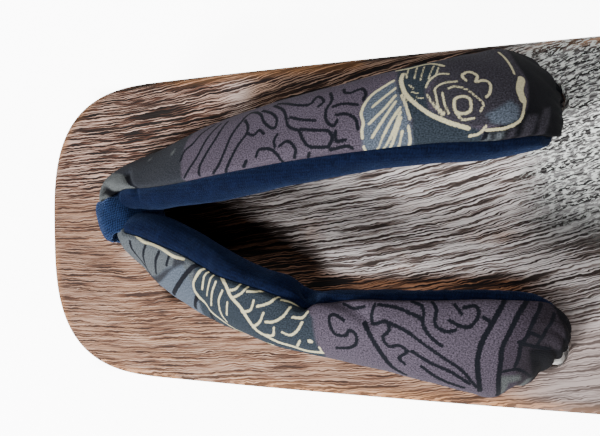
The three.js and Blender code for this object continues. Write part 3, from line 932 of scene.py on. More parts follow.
class Sole:
    """The wooden board with its two teeth, thong holes and knot pocket."""

    def __init__(self, sizes: SoleSizes, finish: bpy.types.Material) -> None:
        """Keeps the sizes and the finish.

        Args:
            sizes: the sole's sizes.
            finish: the wood.
        """
        self.sizes = sizes
        self.finish = finish

    def half_width(self, x: float) -> float:
        """Works out the plan's half width.

        Args:
            x: the distance along the sole from its middle.

        Returns:
            The half width there.
        """
        sizes = self.sizes
        bow = sizes.side_bow * (x / (sizes.length / 2)) ** 2
        into = max(0.0, abs(x) - (sizes.length / 2 - sizes.corner_length)) / sizes.corner_length
        return (sizes.width / 2 - bow) * max(0.0, 1 - into**sizes.corner_power) ** (1 / sizes.corner_power)

    def block(self) -> bpy.types.Object:
        """Raises the plan outline to the full height and rounds both rims.

        Returns:
            The block.
        """
        sizes = self.sizes
        shape = bmesh.new()
        bmesh.ops.create_circle(shape, cap_ends=True, segments=216, radius=1.0)
        for vert in shape.verts:
            x = sizes.length / 2 * vert.co.x
            y = math.copysign(self.half_width(x), vert.co.y) if abs(vert.co.y) > 1e-5 else 0.0
            vert.co = x * MM, y * MM, 0.0
        raised = bmesh.ops.extrude_face_region(shape, geom=shape.faces[:])
        top = [item for item in raised["geom"] if isinstance(item, bmesh.types.BMVert)]
        bmesh.ops.translate(shape, verts=top, vec=(0, 0, sizes.height * MM))
        bmesh.ops.recalc_face_normals(shape, faces=shape.faces)
        rims = [edge for edge in shape.edges if abs(edge.verts[0].co.z - edge.verts[1].co.z) < 1e-6]
        bmesh.ops.bevel(
            shape, geom=rims, offset=sizes.rim * MM, affect="EDGES", segments=5, profile=0.5, material=-1,
        )
        return finished("sole_board", shape)

    def prism(self, outline: list[tuple[float, float]], rounded: tuple[int, ...]) -> bpy.types.Object:
        """Makes a cutter that runs across the sole.

        Args:
            outline: its corners seen from the side, x and z.
            rounded: the corners that are rounded as a tooth's root.

        Returns:
            The cutter.
        """
        shape = bmesh.new()
        reach = self.sizes.cutter_reach * MM
        corners = [shape.verts.new((x * MM, -reach, z * MM)) for x, z in outline]
        face = shape.faces.new(corners)
        pushed = bmesh.ops.extrude_face_region(shape, geom=[face])
        far = [item for item in pushed["geom"] if isinstance(item, bmesh.types.BMVert)]
        bmesh.ops.translate(shape, verts=far, vec=(0, 2 * reach, 0))
        bmesh.ops.recalc_face_normals(shape, faces=shape.faces)
        roots = [(outline[index][0] * MM, outline[index][1] * MM) for index in rounded]
        edges = [
            edge for edge in shape.edges
            if abs(edge.verts[0].co.y - edge.verts[1].co.y) > reach
            and any(abs(edge.verts[0].co.x - x) + abs(edge.verts[0].co.z - z) < 1e-6 for x, z in roots)
        ]
        root = self.sizes.root * MM
        bmesh.ops.bevel(shape, geom=edges, offset=root, affect="EDGES", segments=8, profile=0.5, material=-1)
        return finished("cutter", shape)

    def drill(
        self, x: float, y: float, low: float, high: float, radius: float, top: float
    ) -> bpy.types.Object:
        """Makes an upright round cutter.

        Args:
            x: its place along the sole.
            y: its place across it.
            low: its lower end.
            high: its upper end.
            radius: its radius below.
            top: its radius above.

        Returns:
            The cutter.
        """
        shape = bmesh.new()
        bmesh.ops.create_cone(
            shape, cap_ends=True, segments=56, radius1=radius * MM, radius2=top * MM, depth=(high - low) * MM,
            matrix=Matrix.Translation((x * MM, y * MM, (low + high) / 2 * MM)),
        )
        return finished("cutter", shape)

    def cutters(self) -> list[bpy.types.Object]:
        """Makes every cutter.

        Returns:
            The cutters, in order.
        """
        sizes = self.sizes
        under, below = sizes.height - sizes.board, -sizes.past
        front_back, rear_back = sizes.front_tooth - sizes.tooth, sizes.rear_tooth - sizes.tooth
        rear_foot, front_foot = sizes.rear_tooth - sizes.lean, front_back + sizes.lean
        arch = [
            (rear_foot - sizes.arris, below), (rear_foot - sizes.arris, 0), (rear_foot, sizes.arris),
            (sizes.rear_tooth, under), (front_back, under),
            (front_foot, sizes.arris), (front_foot + sizes.arris, 0), (front_foot + sizes.arris, below),
        ]
        made = [self.prism(arch, (3, 4))]
        for face, way in ((sizes.front_tooth, 1), (rear_back, -1)):
            end = way * (sizes.length / 2 + sizes.past)
            foot = face - way * sizes.lean
            outline = [
                (foot - way * sizes.arris, below), (foot - way * sizes.arris, 0), (foot, sizes.arris),
                (face, under), (end, sizes.height - sizes.tip), (end, below),
            ]
            made.append(self.prism(outline, (3,)))
        pocket, above = sizes.pocket / 2, sizes.height + 1
        made.append(self.drill(sizes.toe_hole, 0, sizes.drill_foot, sizes.pocket_top, pocket, pocket))
        holes = [(sizes.toe_hole, 0, sizes.toe_bore / 2)]
        holes += [(sizes.heel_hole, way * sizes.heel_side, sizes.heel_bore / 2) for way in (1, -1)]
        for x, y, radius in holes:
            made.append(self.drill(x, y, sizes.drill_foot, above, radius, radius))
            made.append(self.drill(x, y, sizes.height - sizes.lip, above, radius, radius + sizes.lip + 1))
        return made

    def build(self) -> bpy.types.Object:
        """Cuts the teeth and holes, eases the new edges and finishes the wood.

        Returns:
            The sole.
        """
        piece = self.block()
        cutters = self.cutters()
        for cutter in cutters:
            cut = piece.modifiers.new("cut", "BOOLEAN")
            cut.operation, cut.solver, cut.object = "DIFFERENCE", "EXACT", cutter
        bpy.context.view_layer.update()
        baked = bpy.data.meshes.new_from_object(piece.evaluated_get(bpy.context.evaluated_depsgraph_get()))
        piece.modifiers.clear()
        piece.data = baked
        for cutter in cutters:
            bpy.data.objects.remove(cutter)
        ease = piece.modifiers.new("ease", "BEVEL")
        ease.width, ease.segments, ease.limit_method = self.sizes.ease * MM, 2, "ANGLE"
        ease.angle_limit = math.radians(self.sizes.ease_angle)
        ease.use_clamp_overlap = True
        level = piece.modifiers.new("level", "WEIGHTED_NORMAL")
        level.keep_sharp = True
        piece.data.materials.clear()
        piece.data.materials.append(self.finish)
        return piece


# The strap


@dataclass
class StrapSizes:
    """The padded strap, in millimetres and degrees, or as shares of its section."""

    toe_hole: float = TOE_HOLE
    footbed: float = FOOTBED
    reach: float = 129.5
    side: float = HEEL_SIDE
    rise: float = 34.0
    width: float = 28.0
    thickness: float = 14.4
    power: float = 2.25
    cover_arc: float = 190.0
    seam_gap: float = 1.2
    seam_draw: float = 0.085
    seam_width: float = 0.9
    inner_share: float = 0.5
    pucker_reach: float = 24.0
    pucker_depth: float = 1.3
    pucker_folds: float = 7.0
    degree_length: float = 0.22

    def spot(self, row: tuple[float, ...]) -> tuple[float, float, float]:
        """Returns the place of one of the strap's rows."""
        return self.toe_hole - row[0] * self.reach, row[1] * self.side, self.footbed + row[2] * self.rise


# Each row of the strap from its right end: back, out (minus is right), rise, wide and thick, which are
# shares of the sizes above, then the roll and where the seam is, in degrees.
STRAP_ROWS = (
    (0.984, -1.006, -0.03, 0.36, 0.68, 0, 186), (0.976, -1.0, 0.12, 0.5, 0.74, 2, 184),
    (0.965, -0.99, 0.33, 0.86, 0.86, 8, 180), (0.935, -0.955, 0.605, 1.04, 0.97, 15, 168),
    (0.876, -0.887, 0.84, 1.03, 1.0, 20, 157), (0.785, -0.834, 0.97, 0.95, 1.0, 22, 149),
    (0.667, -0.783, 1.0, 0.91, 1.0, 24, 147), (0.527, -0.711, 0.955, 0.91, 1.0, 27, 142),
    (0.372, -0.628, 0.853, 0.95, 1.0, 32, 140), (0.24, -0.557, 0.72, 0.93, 0.97, 40, 146),
    (0.14, -0.511, 0.58, 0.86, 0.94, 50, 155), (0.068, -0.478, 0.49, 0.77, 0.91, 60, 163),
    (0.014, -0.42, 0.43, 0.69, 0.93, 69, 172), (-0.018, -0.32, 0.405, 0.62, 0.97, 76, 180),
    (0.005, -0.145, 0.395, 0.58, 0.74, 77, 184),
    (0.027, -0.02, 0.405, 0.64, 0.9, 72, 174), (0.05, 0.09, 0.43, 0.79, 0.95, 62, 160),
    (0.085, 0.15, 0.48, 0.88, 0.95, 50, 147), (0.14, 0.228, 0.56, 0.9, 0.94, 36, 137),
    (0.232, 0.34, 0.69, 0.83, 0.92, 22, 127), (0.325, 0.478, 0.81, 0.77, 0.92, 20, 127),
    (0.41, 0.588, 0.882, 0.71, 0.97, 22, 143), (0.48, 0.664, 0.92, 0.65, 1.03, 24, 153),
    (0.545, 0.706, 0.947, 0.59, 1.06, 24, 166), (0.605, 0.715, 0.976, 0.65, 1.06, 22, 169),
    (0.682, 0.732, 1.0, 0.73, 1.03, 20, 169), (0.782, 0.771, 0.97, 0.84, 1.0, 18, 171),
    (0.868, 0.812, 0.84, 0.97, 1.0, 16, 171), (0.925, 0.875, 0.62, 1.07, 1.0, 12, 178),
    (0.953, 0.945, 0.37, 0.87, 0.88, 8, 184), (0.964, 0.985, 0.185, 0.5, 0.6, 4, 186),
)
TURN_ROW = 14

# The dark drawn lines of the print: half width in millimetres, then marks of distance from the turn
# (minus is the right leg) and angle round the section.
INK_LINES = (
    (0.50, ((-21.2, 127), (-25.7, 148), (-28.8, 161), (-29.7, 167))),
    (0.30, ((-46.3, 105), (-46.7, 92), (-49.2, 85), (-51.2, 69), (-54.3, 54))),
    (0.28, ((-49.4, 133), (-51.0, 118), (-53.0, 104), (-54.8, 85), (-57.2, 60))),
    (0.28, ((-54.5, 134), (-54.8, 119), (-56.3, 100), (-58.1, 87), (-60.1, 59))),
    (0.28, ((-59.2, 135), (-60.8, 124), (-62.6, 102), (-63.7, 88), (-65.3, 73), (-66.4, 65))),
    (0.28, ((-63.3, 137), (-65.1, 118), (-67.1, 98), (-68.9, 89), (-69.1, 80), (-67.3, 68))),
    (0.36, ((-68.9, 133), (-69.8, 125))),
    (0.26, ((-66.4, 63), (-68.2, 54), (-72.2, 64), (-74.9, 82), (-78.0, 90), (-78.3, 81), (-76.7, 70),
        (-72.7, 58))),
    (0.26, ((-69.5, 89), (-71.5, 92), (-72.9, 88), (-74.9, 93))),
    (0.26, ((-76.2, 53), (-80.3, 70), (-82.3, 92), (-85.4, 100), (-86.8, 113), (-88.1, 122), (-90.6, 126),
        (-93.7, 128))),
    (0.26, ((-76.9, 49), (-80.3, 56), (-85.0, 68), (-88.1, 69), (-89.5, 58), (-91.7, 70), (-90.3, 76))),
    (0.26, ((-82.5, 82), (-85.9, 88), (-89.9, 92))),
    (0.26, ((-86.1, 98), (-90.6, 104), (-93.5, 108), (-94.6, 117), (-93.5, 127))),
    (0.26, ((-78.7, 114), (-78.3, 105), (-79.2, 98))),
    (0.26, ((-80.3, 114), (-82.5, 110), (-84.8, 123), (-83.9, 136))),
    (0.26, ((-72.9, 121), (-73.8, 113), (-77.4, 116), (-79.6, 128), (-80.1, 139))),
    (0.26, ((-87.2, 140), (-88.3, 132))),
    (0.26, ((-93.0, 56), (-93.9, 71), (-92.6, 84), (-93.3, 96), (-95.0, 103), (-95.7, 97))),
    (0.26, ((-96.6, 55), (-97.1, 62), (-98.6, 65), (-101.5, 62), (-102.4, 72), (-102.0, 80))),
    (0.26, ((-94.6, 81), (-97.1, 80), (-100.9, 85))),
    (0.26, ((-95.3, 91), (-98.0, 92), (-100.4, 100), (-100.6, 112))),
    (0.26, ((-95.5, 110), (-95.3, 122), (-97.7, 123))),
    (0.26, ((-93.5, 133), (-98.0, 132), (-98.9, 137))),
    (0.35, ((15.7, 129), (15.7, 116), (18.4, 88), (20.4, 57))),
    (0.30, ((22.7, 126), (20.7, 105), (18.0, 64))),
    (0.30, ((28.7, 119), (26.9, 105), (24.7, 83))),
    (0.30, ((32.7, 117), (31.2, 100))),
    (0.60, ((43.5, 125), (40.1, 101), (36.5, 80), (31.8, 54))),
    (0.50, ((45.0, 77), (43.3, 48))),
    (0.50, ((50.0, 55), (49.5, 30))),
    (0.26, ((90.7, 157), (93.8, 144), (96.1, 146))),
    (0.26, ((92.3, 121), (89.4, 131), (88.2, 128), (88.7, 111), (90.0, 99), (92.5, 98), (93.6, 106),
        (94.9, 101), (94.9, 89), (93.2, 81), (89.6, 78))),
    (0.42, ((96.5, 117), (97.9, 102), (99.4, 90), (101.0, 75), (103.0, 58), (106.1, 42))),
    (0.26, ((98.5, 150), (98.1, 129), (98.5, 117), (101.7, 122), (102.6, 111), (101.2, 100), (102.6, 90),
        (104.8, 92), (106.4, 87), (104.8, 76), (106.1, 68))),
    (0.28, ((99.4, 150), (103.2, 145), (106.4, 136), (108.6, 128), (109.9, 115), (111.1, 105), (113.3, 96))),
    (0.26, ((101.7, 122), (106.1, 111), (109.9, 97), (113.7, 85), (118.4, 71), (122.9, 49))),
    (0.28, ((107.5, 88), (111.7, 76), (115.5, 68), (120.9, 53))),
    (0.28, ((109.9, 69), (114.4, 50), (119.8, 42))),
    (0.26, ((106.6, 158), (108.8, 148), (109.3, 126))),
    (0.26, ((110.6, 158), (111.5, 144), (111.7, 122), (113.5, 113), (115.3, 115))),
    (0.26, ((115.1, 152), (116.4, 136))),
    (0.28, ((114.2, 127), (116.2, 120), (118.2, 120), (119.6, 136), (119.3, 148), (116.7, 146))),
    (0.28, ((120.5, 132), (121.6, 125), (121.1, 109), (120.5, 98))),
    (0.50, ((124.3, 168), (122.7, 136), (121.6, 120), (120.9, 103), (120.9, 86), (121.8, 72), (124.7, 42))),
    (0.50, ((128.3, 166), (126.1, 138), (125.2, 117), (124.9, 100), (125.6, 87), (127.8, 67), (132.5, 41))),
    (0.45, ((131.4, 160), (129.2, 132), (129.0, 114), (128.5, 106), (129.2, 93), (129.9, 86))),
    (0.45, ((134.2, 150), (133.2, 125), (132.5, 110))),
    (0.30, ((127.6, 108), (132.5, 106), (136.3, 111))),
    (0.30, ((127.6, 79), (131.4, 83), (137.7, 81))),
    (0.30, ((129.6, 120), (132.5, 117))),
    (0.30, ((-125.3, 147), (-126.2, 135))),
)

# The pale drawn lines, given in the same way.
CREAM_LINES = (
    (0.30, ((-109.4, 59), (-107.6, 64), (-104.2, 74), (-102.7, 85), (-101.5, 95), (-102.0, 106),
        (-101.5, 115), (-101.8, 124))),
    (0.26, ((-101.8, 136), (-101.5, 148))),
    (0.28, ((-109.6, 72), (-104.4, 90))),
    (0.28, ((-109.8, 82), (-106.9, 94), (-103.3, 108))),
    (0.28, ((-110.0, 89), (-107.1, 104), (-104.0, 125))),
    (0.28, ((-110.5, 95), (-107.6, 116), (-104.2, 149))),
    (0.28, ((-110.7, 100), (-108.7, 120), (-105.8, 150))),
    (0.28, ((-110.7, 106), (-109.4, 123), (-107.6, 147))),
    (0.28, ((-110.5, 122), (-109.4, 148))),
    (0.28, ((-110.9, 83), (-111.8, 96), (-112.3, 109))),
    (0.29, ((-111.8, 117), (-112.1, 134), (-111.6, 148))),
    (0.45, ((-111.6, 50), (-110.9, 62), (-112.1, 82), (-113.8, 93), (-116.3, 107), (-119.7, 118),
        (-123.2, 128))),
    (0.30, ((-109.6, 32), (-112.9, 37), (-118.1, 35), (-121.2, 51))),
    (0.15, ((-112.9, 41), (-112.5, 59))),
    (0.15, ((-115.2, 41), (-114.1, 63))),
    (0.15, ((-117.0, 43), (-115.6, 67))),
    (0.15, ((-119.0, 46), (-117.2, 67))),
    (0.15, ((-120.1, 52), (-119.0, 65))),
    (0.15, ((-112.9, 71), (-113.6, 77))),
    (0.15, ((-113.4, 81), (-114.7, 84))),
    (0.15, ((-114.1, 88), (-115.4, 90))),
    (0.19, ((-116.5, 79), (-117.4, 71), (-119.7, 64), (-121.7, 67))),
    (0.19, ((-116.3, 87), (-117.2, 97), (-118.8, 109))),
    (0.19, ((-123.2, 79), (-119.9, 78), (-118.3, 83), (-118.1, 91), (-118.5, 100), (-119.4, 109))),
    (0.19, ((-119.7, 88), (-119.7, 98), (-120.3, 109))),
    (0.19, ((-120.8, 85), (-122.3, 84), (-124.4, 89), (-125.9, 96), (-126.6, 104), (-125.7, 111))),
    (0.29, ((-124.6, 103), (-123.9, 109), (-122.6, 111), (-121.5, 107), (-121.5, 101), (-121.9, 95),
        (-123.5, 94), (-124.6, 97), (-124.6, 103))),
    (0.19, ((-121.2, 109), (-122.3, 117), (-124.6, 117))),
    (0.27, ((-124.8, 80), (-124.6, 73), (-126.2, 70), (-127.9, 77), (-126.8, 83), (-128.4, 83), (-129.3, 87),
        (-128.8, 95), (-127.5, 98))),
    (0.25, ((-139.1, 42), (-137.8, 61), (-136.2, 83))),
    (0.95, ((-137.1, 89), (-134.9, 98), (-134.2, 108))),
    (0.29, ((-134.4, 112), (-132.2, 129), (-129.7, 134), (-126.4, 133))),
    (0.25, ((-126.2, 128), (-125.0, 136), (-123.0, 138))),
    (0.42, ((15.1, 154), (21.3, 131), (25.1, 130), (28.9, 126), (33.9, 118), (37.9, 120))),
    (0.32, ((45.5, 125), (44.1, 107), (43.3, 90), (45.5, 79), (50.4, 64), (54.4, 54), (58.9, 39), (64.5, 35),
        (70.6, 46))),
    (0.26, ((48.0, 126), (46.6, 109), (46.4, 90))),
    (0.26, ((50.2, 124), (49.1, 102), (48.8, 87))),
    (0.26, ((51.8, 116), (51.1, 96), (51.1, 78))),
    (0.26, ((54.4, 108), (53.8, 91), (54.4, 74), (56.2, 60))),
    (0.26, ((56.9, 95), (56.7, 77))),
    (0.45, ((52.9, 130), (55.3, 119), (57.8, 107), (61.6, 99), (64.1, 90), (67.2, 76), (70.1, 72), (72.8, 67),
        (76.4, 63), (80.2, 55), (84.4, 59))),
    (0.26, ((62.1, 140), (61.4, 124), (58.5, 107))),
    (0.26, ((67.6, 152), (65.4, 140), (62.7, 130))),
    (0.26, ((65.4, 122), (64.7, 104), (62.3, 94))),
    (0.26, ((71.9, 155), (70.3, 133), (66.7, 115))),
    (0.26, ((77.0, 154), (73.0, 147))),
    (0.26, ((68.8, 110), (67.9, 93), (65.6, 79))),
    (0.26, ((75.9, 140), (74.6, 118), (71.9, 102), (69.7, 97))),
    (0.26, ((82.0, 139), (80.4, 126), (77.5, 122))),
    (0.26, ((72.6, 94), (71.9, 81), (69.7, 75))),
    (0.26, ((80.6, 117), (79.3, 100), (77.0, 90), (74.6, 91))),
    (0.26, ((79.5, 84), (78.4, 67))),
    (0.50, ((82.4, 86), (82.9, 86))),
    (0.26, ((59.6, 140), (59.1, 125), (56.7, 114))),
    (0.26, ((84.4, 75), (84.4, 59))),
)

# The print's grounds over plum, some of them painted shade, each an outline of distance from the turn and
# angle.
GROUNDS = (
    (Ground.CHARCOAL, ((2, -60), (-44, -60), (-44.2, 43), (-46.3, 105), (-48.7, 141), (-48.7, 230),
                       (2, 230))),
    (Ground.FOLD, ((-6, 100), (-10.7, 92), (-13.4, 112), (-20.3, 127), (-27.5, 160), (-28.8, 230),
                   (-2, 230))),
    # The black patch in the crease by the turn is painted shade.
    (Ground.BLACK, ((-7.8, 116), (-10.7, 156), (-18.1, 177), (-14.9, 182), (-9.1, 175), (-7.4, 146))),
    (Ground.FOLD, ((-29.7, 158), (-34.2, 151), (-35.3, 157), (-39.0, 153), (-31, 170))),
    (Ground.FOLD, ((-28, 93), (-28.8, 97), (-29.6, 93), (-28.8, 89))),
    (Ground.FOLD, ((-39.9, 90), (-40.7, 94), (-41.5, 90), (-40.7, 86))),
    (Ground.SLATE, ((-109.8, -60), (-122.6, -60), (-122.6, 21), (-120.1, 58), (-116.1, 82), (-116.3, 102),
                    (-120.8, 119), (-125.3, 132), (-125.3, 230), (-111.6, 230), (-111.6, 161), (-112.5, 110),
                    (-110, 79), (-109.8, 24))),
    (Ground.BLUE_GREY, ((-109.4, 59), (-107.6, 64), (-104.2, 74), (-102.7, 85), (-101.5, 95), (-102, 106),
                        (-101.5, 115), (-101.3, 141), (-102.4, 152), (-102.4, 230), (-112.1, 230),
                        (-112.1, 154), (-112.3, 122), (-111.8, 96), (-110, 79))),
    (Ground.MAUVE, ((-122.6, -60), (-142.5, -60), (-142.5, 28), (-137.8, 85), (-132, 129), (-123.2, 126),
                    (-118.1, 109), (-116.3, 88), (-120, 58))),
    (Ground.BLACK, ((-142.5, -60), (-175, -60), (-175, 230), (-125.3, 230), (-125.3, 162), (-125.5, 135),
                    (-133.8, 119), (-138, 90), (-138.9, 70), (-142.5, 27))),
    (Ground.LIGHT_SLATE, ((-125.6, 138), (-126.8, 137), (-126.4, 158), (-125.0, 158))),
    (Ground.LIGHT_SLATE, ((-127.6, 138), (-128.9, 138), (-128.2, 158), (-126.9, 158))),
    (Ground.MAUVE, ((-129.8, 137), (-130.9, 136), (-130.1, 158), (-128.9, 158))),
    (Ground.MAUVE, ((-133.8, 125), (-136.2, 127), (-134.5, 142), (-133.1, 160), (-131.2, 160),
                    (-132.4, 135))),
    (Ground.MAUVE, ((-138.9, 120), (-141.4, 118), (-138.9, 138), (-136.4, 160), (-134.7, 160),
                    (-136.0, 134))),
    (Ground.BLUE_GREY, ((-126.6, 115), (-131.5, 106), (-132.6, 114), (-131.7, 128), (-129.5, 130),
                        (-127.3, 126))),
    (Ground.LIGHT_SLATE, ((-2, -60), (-2, 230), (41, 230), (42.8, 125), (43.7, 90), (46.4, 64), (46.4, -60))),
    (Ground.BLUE_GREY, ((12, -60), (12, 66), (22, 72), (38, 112), (44, 86), (46.4, 64), (46.4, -60))),
    (Ground.CHARCOAL, ((38.1, 122), (39.7, 114), (21.4, 56), (18.0, 64), (29.2, 90), (34.3, 101),
                       (34.7, 115))),
    (Ground.SLATE, ((42.8, 230), (79, 230), (79.1, 167), (84, 125), (84.9, 60), (84.9, -60), (46, -60),
                    (46.4, 64), (43.7, 90), (42.8, 125))),
    # Towards the left end the deeper plums and the black are painted shade of the end and its gathers.
    (Ground.PLUM_SHADE, ((128.3, 230), (128.3, 166), (126.1, 138), (125.2, 117), (124.9, 100), (125.6, 87),
                        (127.8, 67), (132.5, 41), (132.5, -60), (175, -60), (175, 230))),
    (Ground.PLUM_DEEP_SHADE, ((131.4, 230), (131.4, 160), (129.2, 132), (129.0, 114), (128.5, 106), (129.2, 93),
                        (129.9, 86), (136, 60), (140, -60), (175, -60), (175, 230))),
    (Ground.FOLD, ((127.6, 72), (132.8, 78), (134.6, 73), (131.2, 66), (134.2, 45), (133, 40))),
    (Ground.FOLD, ((137, 75), (139.9, 82), (143.7, 57), (143.5, 47))),
    (Ground.BLACK, ((132, 230), (133.2, 181), (134.8, 158), (136.1, 146), (138.4, 134), (139, 116),
                    (133.9, 106), (131.0, 102), (132.8, 93), (135.9, 85), (144, 70), (144, -60),
                    (175, -60), (175, 230))),
)


# Places where the padding swells (plus) or is drawn in (minus): height, radius, then marks.
SWELLS = (
    (0.9, 6.0, ((7, 186), (15, 184), (26, 178))),
    (0.6, 6.0, ((-9, 205), (-20, 198), (-32, 192))),
    (-1.6, 1.6, ((-8, 128), (-12, 152), (-15, 172))),
    (-1.0, 1.2, ((-21, 120), (-25, 148), (-28, 170))),
    (-3.2, 2.2, ((77, 196), (80, 176), (79, 160))),
    (1.4, 5.0, ((70, 190), (68, 178))),
    (-1.0, 1.8, ((84, 172), (92, 150), (98, 120))),
    (-0.8, 2.2, ((46, 128), (47, 96), (48, 70))),
)


class StrapForm:
    """The strap's centre line and sections, which its cover, lining and drawings share."""

    steps: int = 40

    def __init__(self, sizes: StrapSizes, count: int) -> None:
        """Works out the stations.

        Args:
            sizes: the strap's sizes.
            count: how many stations it has.
        """
        self.sizes = sizes
        rows = np.array(STRAP_ROWS)
        rows[:, 0] = sizes.toe_hole - rows[:, 0] * sizes.reach
        rows[:, 1] *= sizes.side
        rows[:, 2] = sizes.footbed + rows[:, 2] * sizes.rise
        fine = self.through(rows)
        walked = np.concatenate([[0.0], np.cumsum(np.linalg.norm(np.diff(fine[:, :3], axis=0), axis=1))])
        even = np.linspace(0, walked[-1], count)
        table = np.stack([np.interp(even, walked, column) for column in fine.T], 1)
        self.count = count
        self.along = even - walked[TURN_ROW * self.steps]
        self.centre = table[:, :3]
        way = unit(np.gradient(self.centre, axis=0))
        outward = unit(np.stack([way[:, 1], -way[:, 0], np.zeros(count)], 1))
        over = np.cross(outward, way)
        roll = np.radians(table[:, 5])[:, None]
        self.edgeway = outward * np.cos(roll) - over * np.sin(roll)
        self.faceway = over * np.cos(roll) + outward * np.sin(roll)
        self.half_wide = table[:, 3] * sizes.width / 2
        self.half_thick = table[:, 4] * sizes.thickness / 2
        self.seam = table[:, 6]

    def through(self, rows: np.ndarray) -> np.ndarray:
        """Runs the smooth curve of the strap through its rows.

        Args:
            rows: the rows in order.

        Returns:
            The finer rows, as many to each stretch as it has steps.
        """
        last = len(rows) - 1
        share = np.arange(self.steps)[:, None] / self.steps
        out = []
        for index in range(last):
            before, start = rows[max(index - 1, 0)], rows[index]
            end, after = rows[index + 1], rows[min(index + 2, last)]
            bend = 2 * before - 5 * start + 4 * end - after
            twist = -before + 3 * start - 3 * end + after
            out.append(0.5 * (2 * start + (end - before) * share + bend * share**2 + twist * share**3))
        return np.vstack(out + [rows[-1:]])

    def points(self, angles: np.ndarray, share: np.ndarray, lift: np.ndarray | float = 0.0) -> np.ndarray:
        """Gives points of the sections.

        Args:
            angles: stations by points around, in degrees; 0 is the outer edge and 90 the face.
            share: how far out each lies, 1 on the surface.
            lift: how far it stands proud, in millimetres.

        Returns:
            Stations by points by 3, in millimetres.
        """
        cosine, sine = np.cos(np.radians(angles)), np.sin(np.radians(angles))
        wide, thick = self.half_wide[:, None], self.half_thick[:, None]
        full = 2 / self.sizes.power
        out = np.stack([signed_power(cosine, 2 - full) / wide, signed_power(sine, 2 - full) / thick], -1)
        out = unit(out) * np.asarray(lift)[..., None]
        across = signed_power(cosine, full) * wide * share + out[..., 0]
        up = signed_power(sine, full) * thick * share + out[..., 1]
        flat = across[..., None] * self.edgeway[:, None] + up[..., None] * self.faceway[:, None]
        return self.centre[:, None] + flat

    def route(self, marks: tuple[tuple[float, float], ...]) -> np.ndarray:
        """Gives the surface points of a drawn line.

        Args:
            marks: its corners, each along and angle.

        Returns:
            n by 3, in millimetres.
        """
        rows = np.array(marks, float)
        index = np.clip(np.searchsorted(self.along, rows[:, 0]), 0, self.count - 1)
        turn, full = np.radians(rows[:, 1]), 2 / self.sizes.power
        across = signed_power(np.cos(turn), full) * self.half_wide[index]
        up = signed_power(np.sin(turn), full) * self.half_thick[index]
        return self.centre[index] + across[:, None] * self.edgeway[index] + up[:, None] * self.faceway[index]


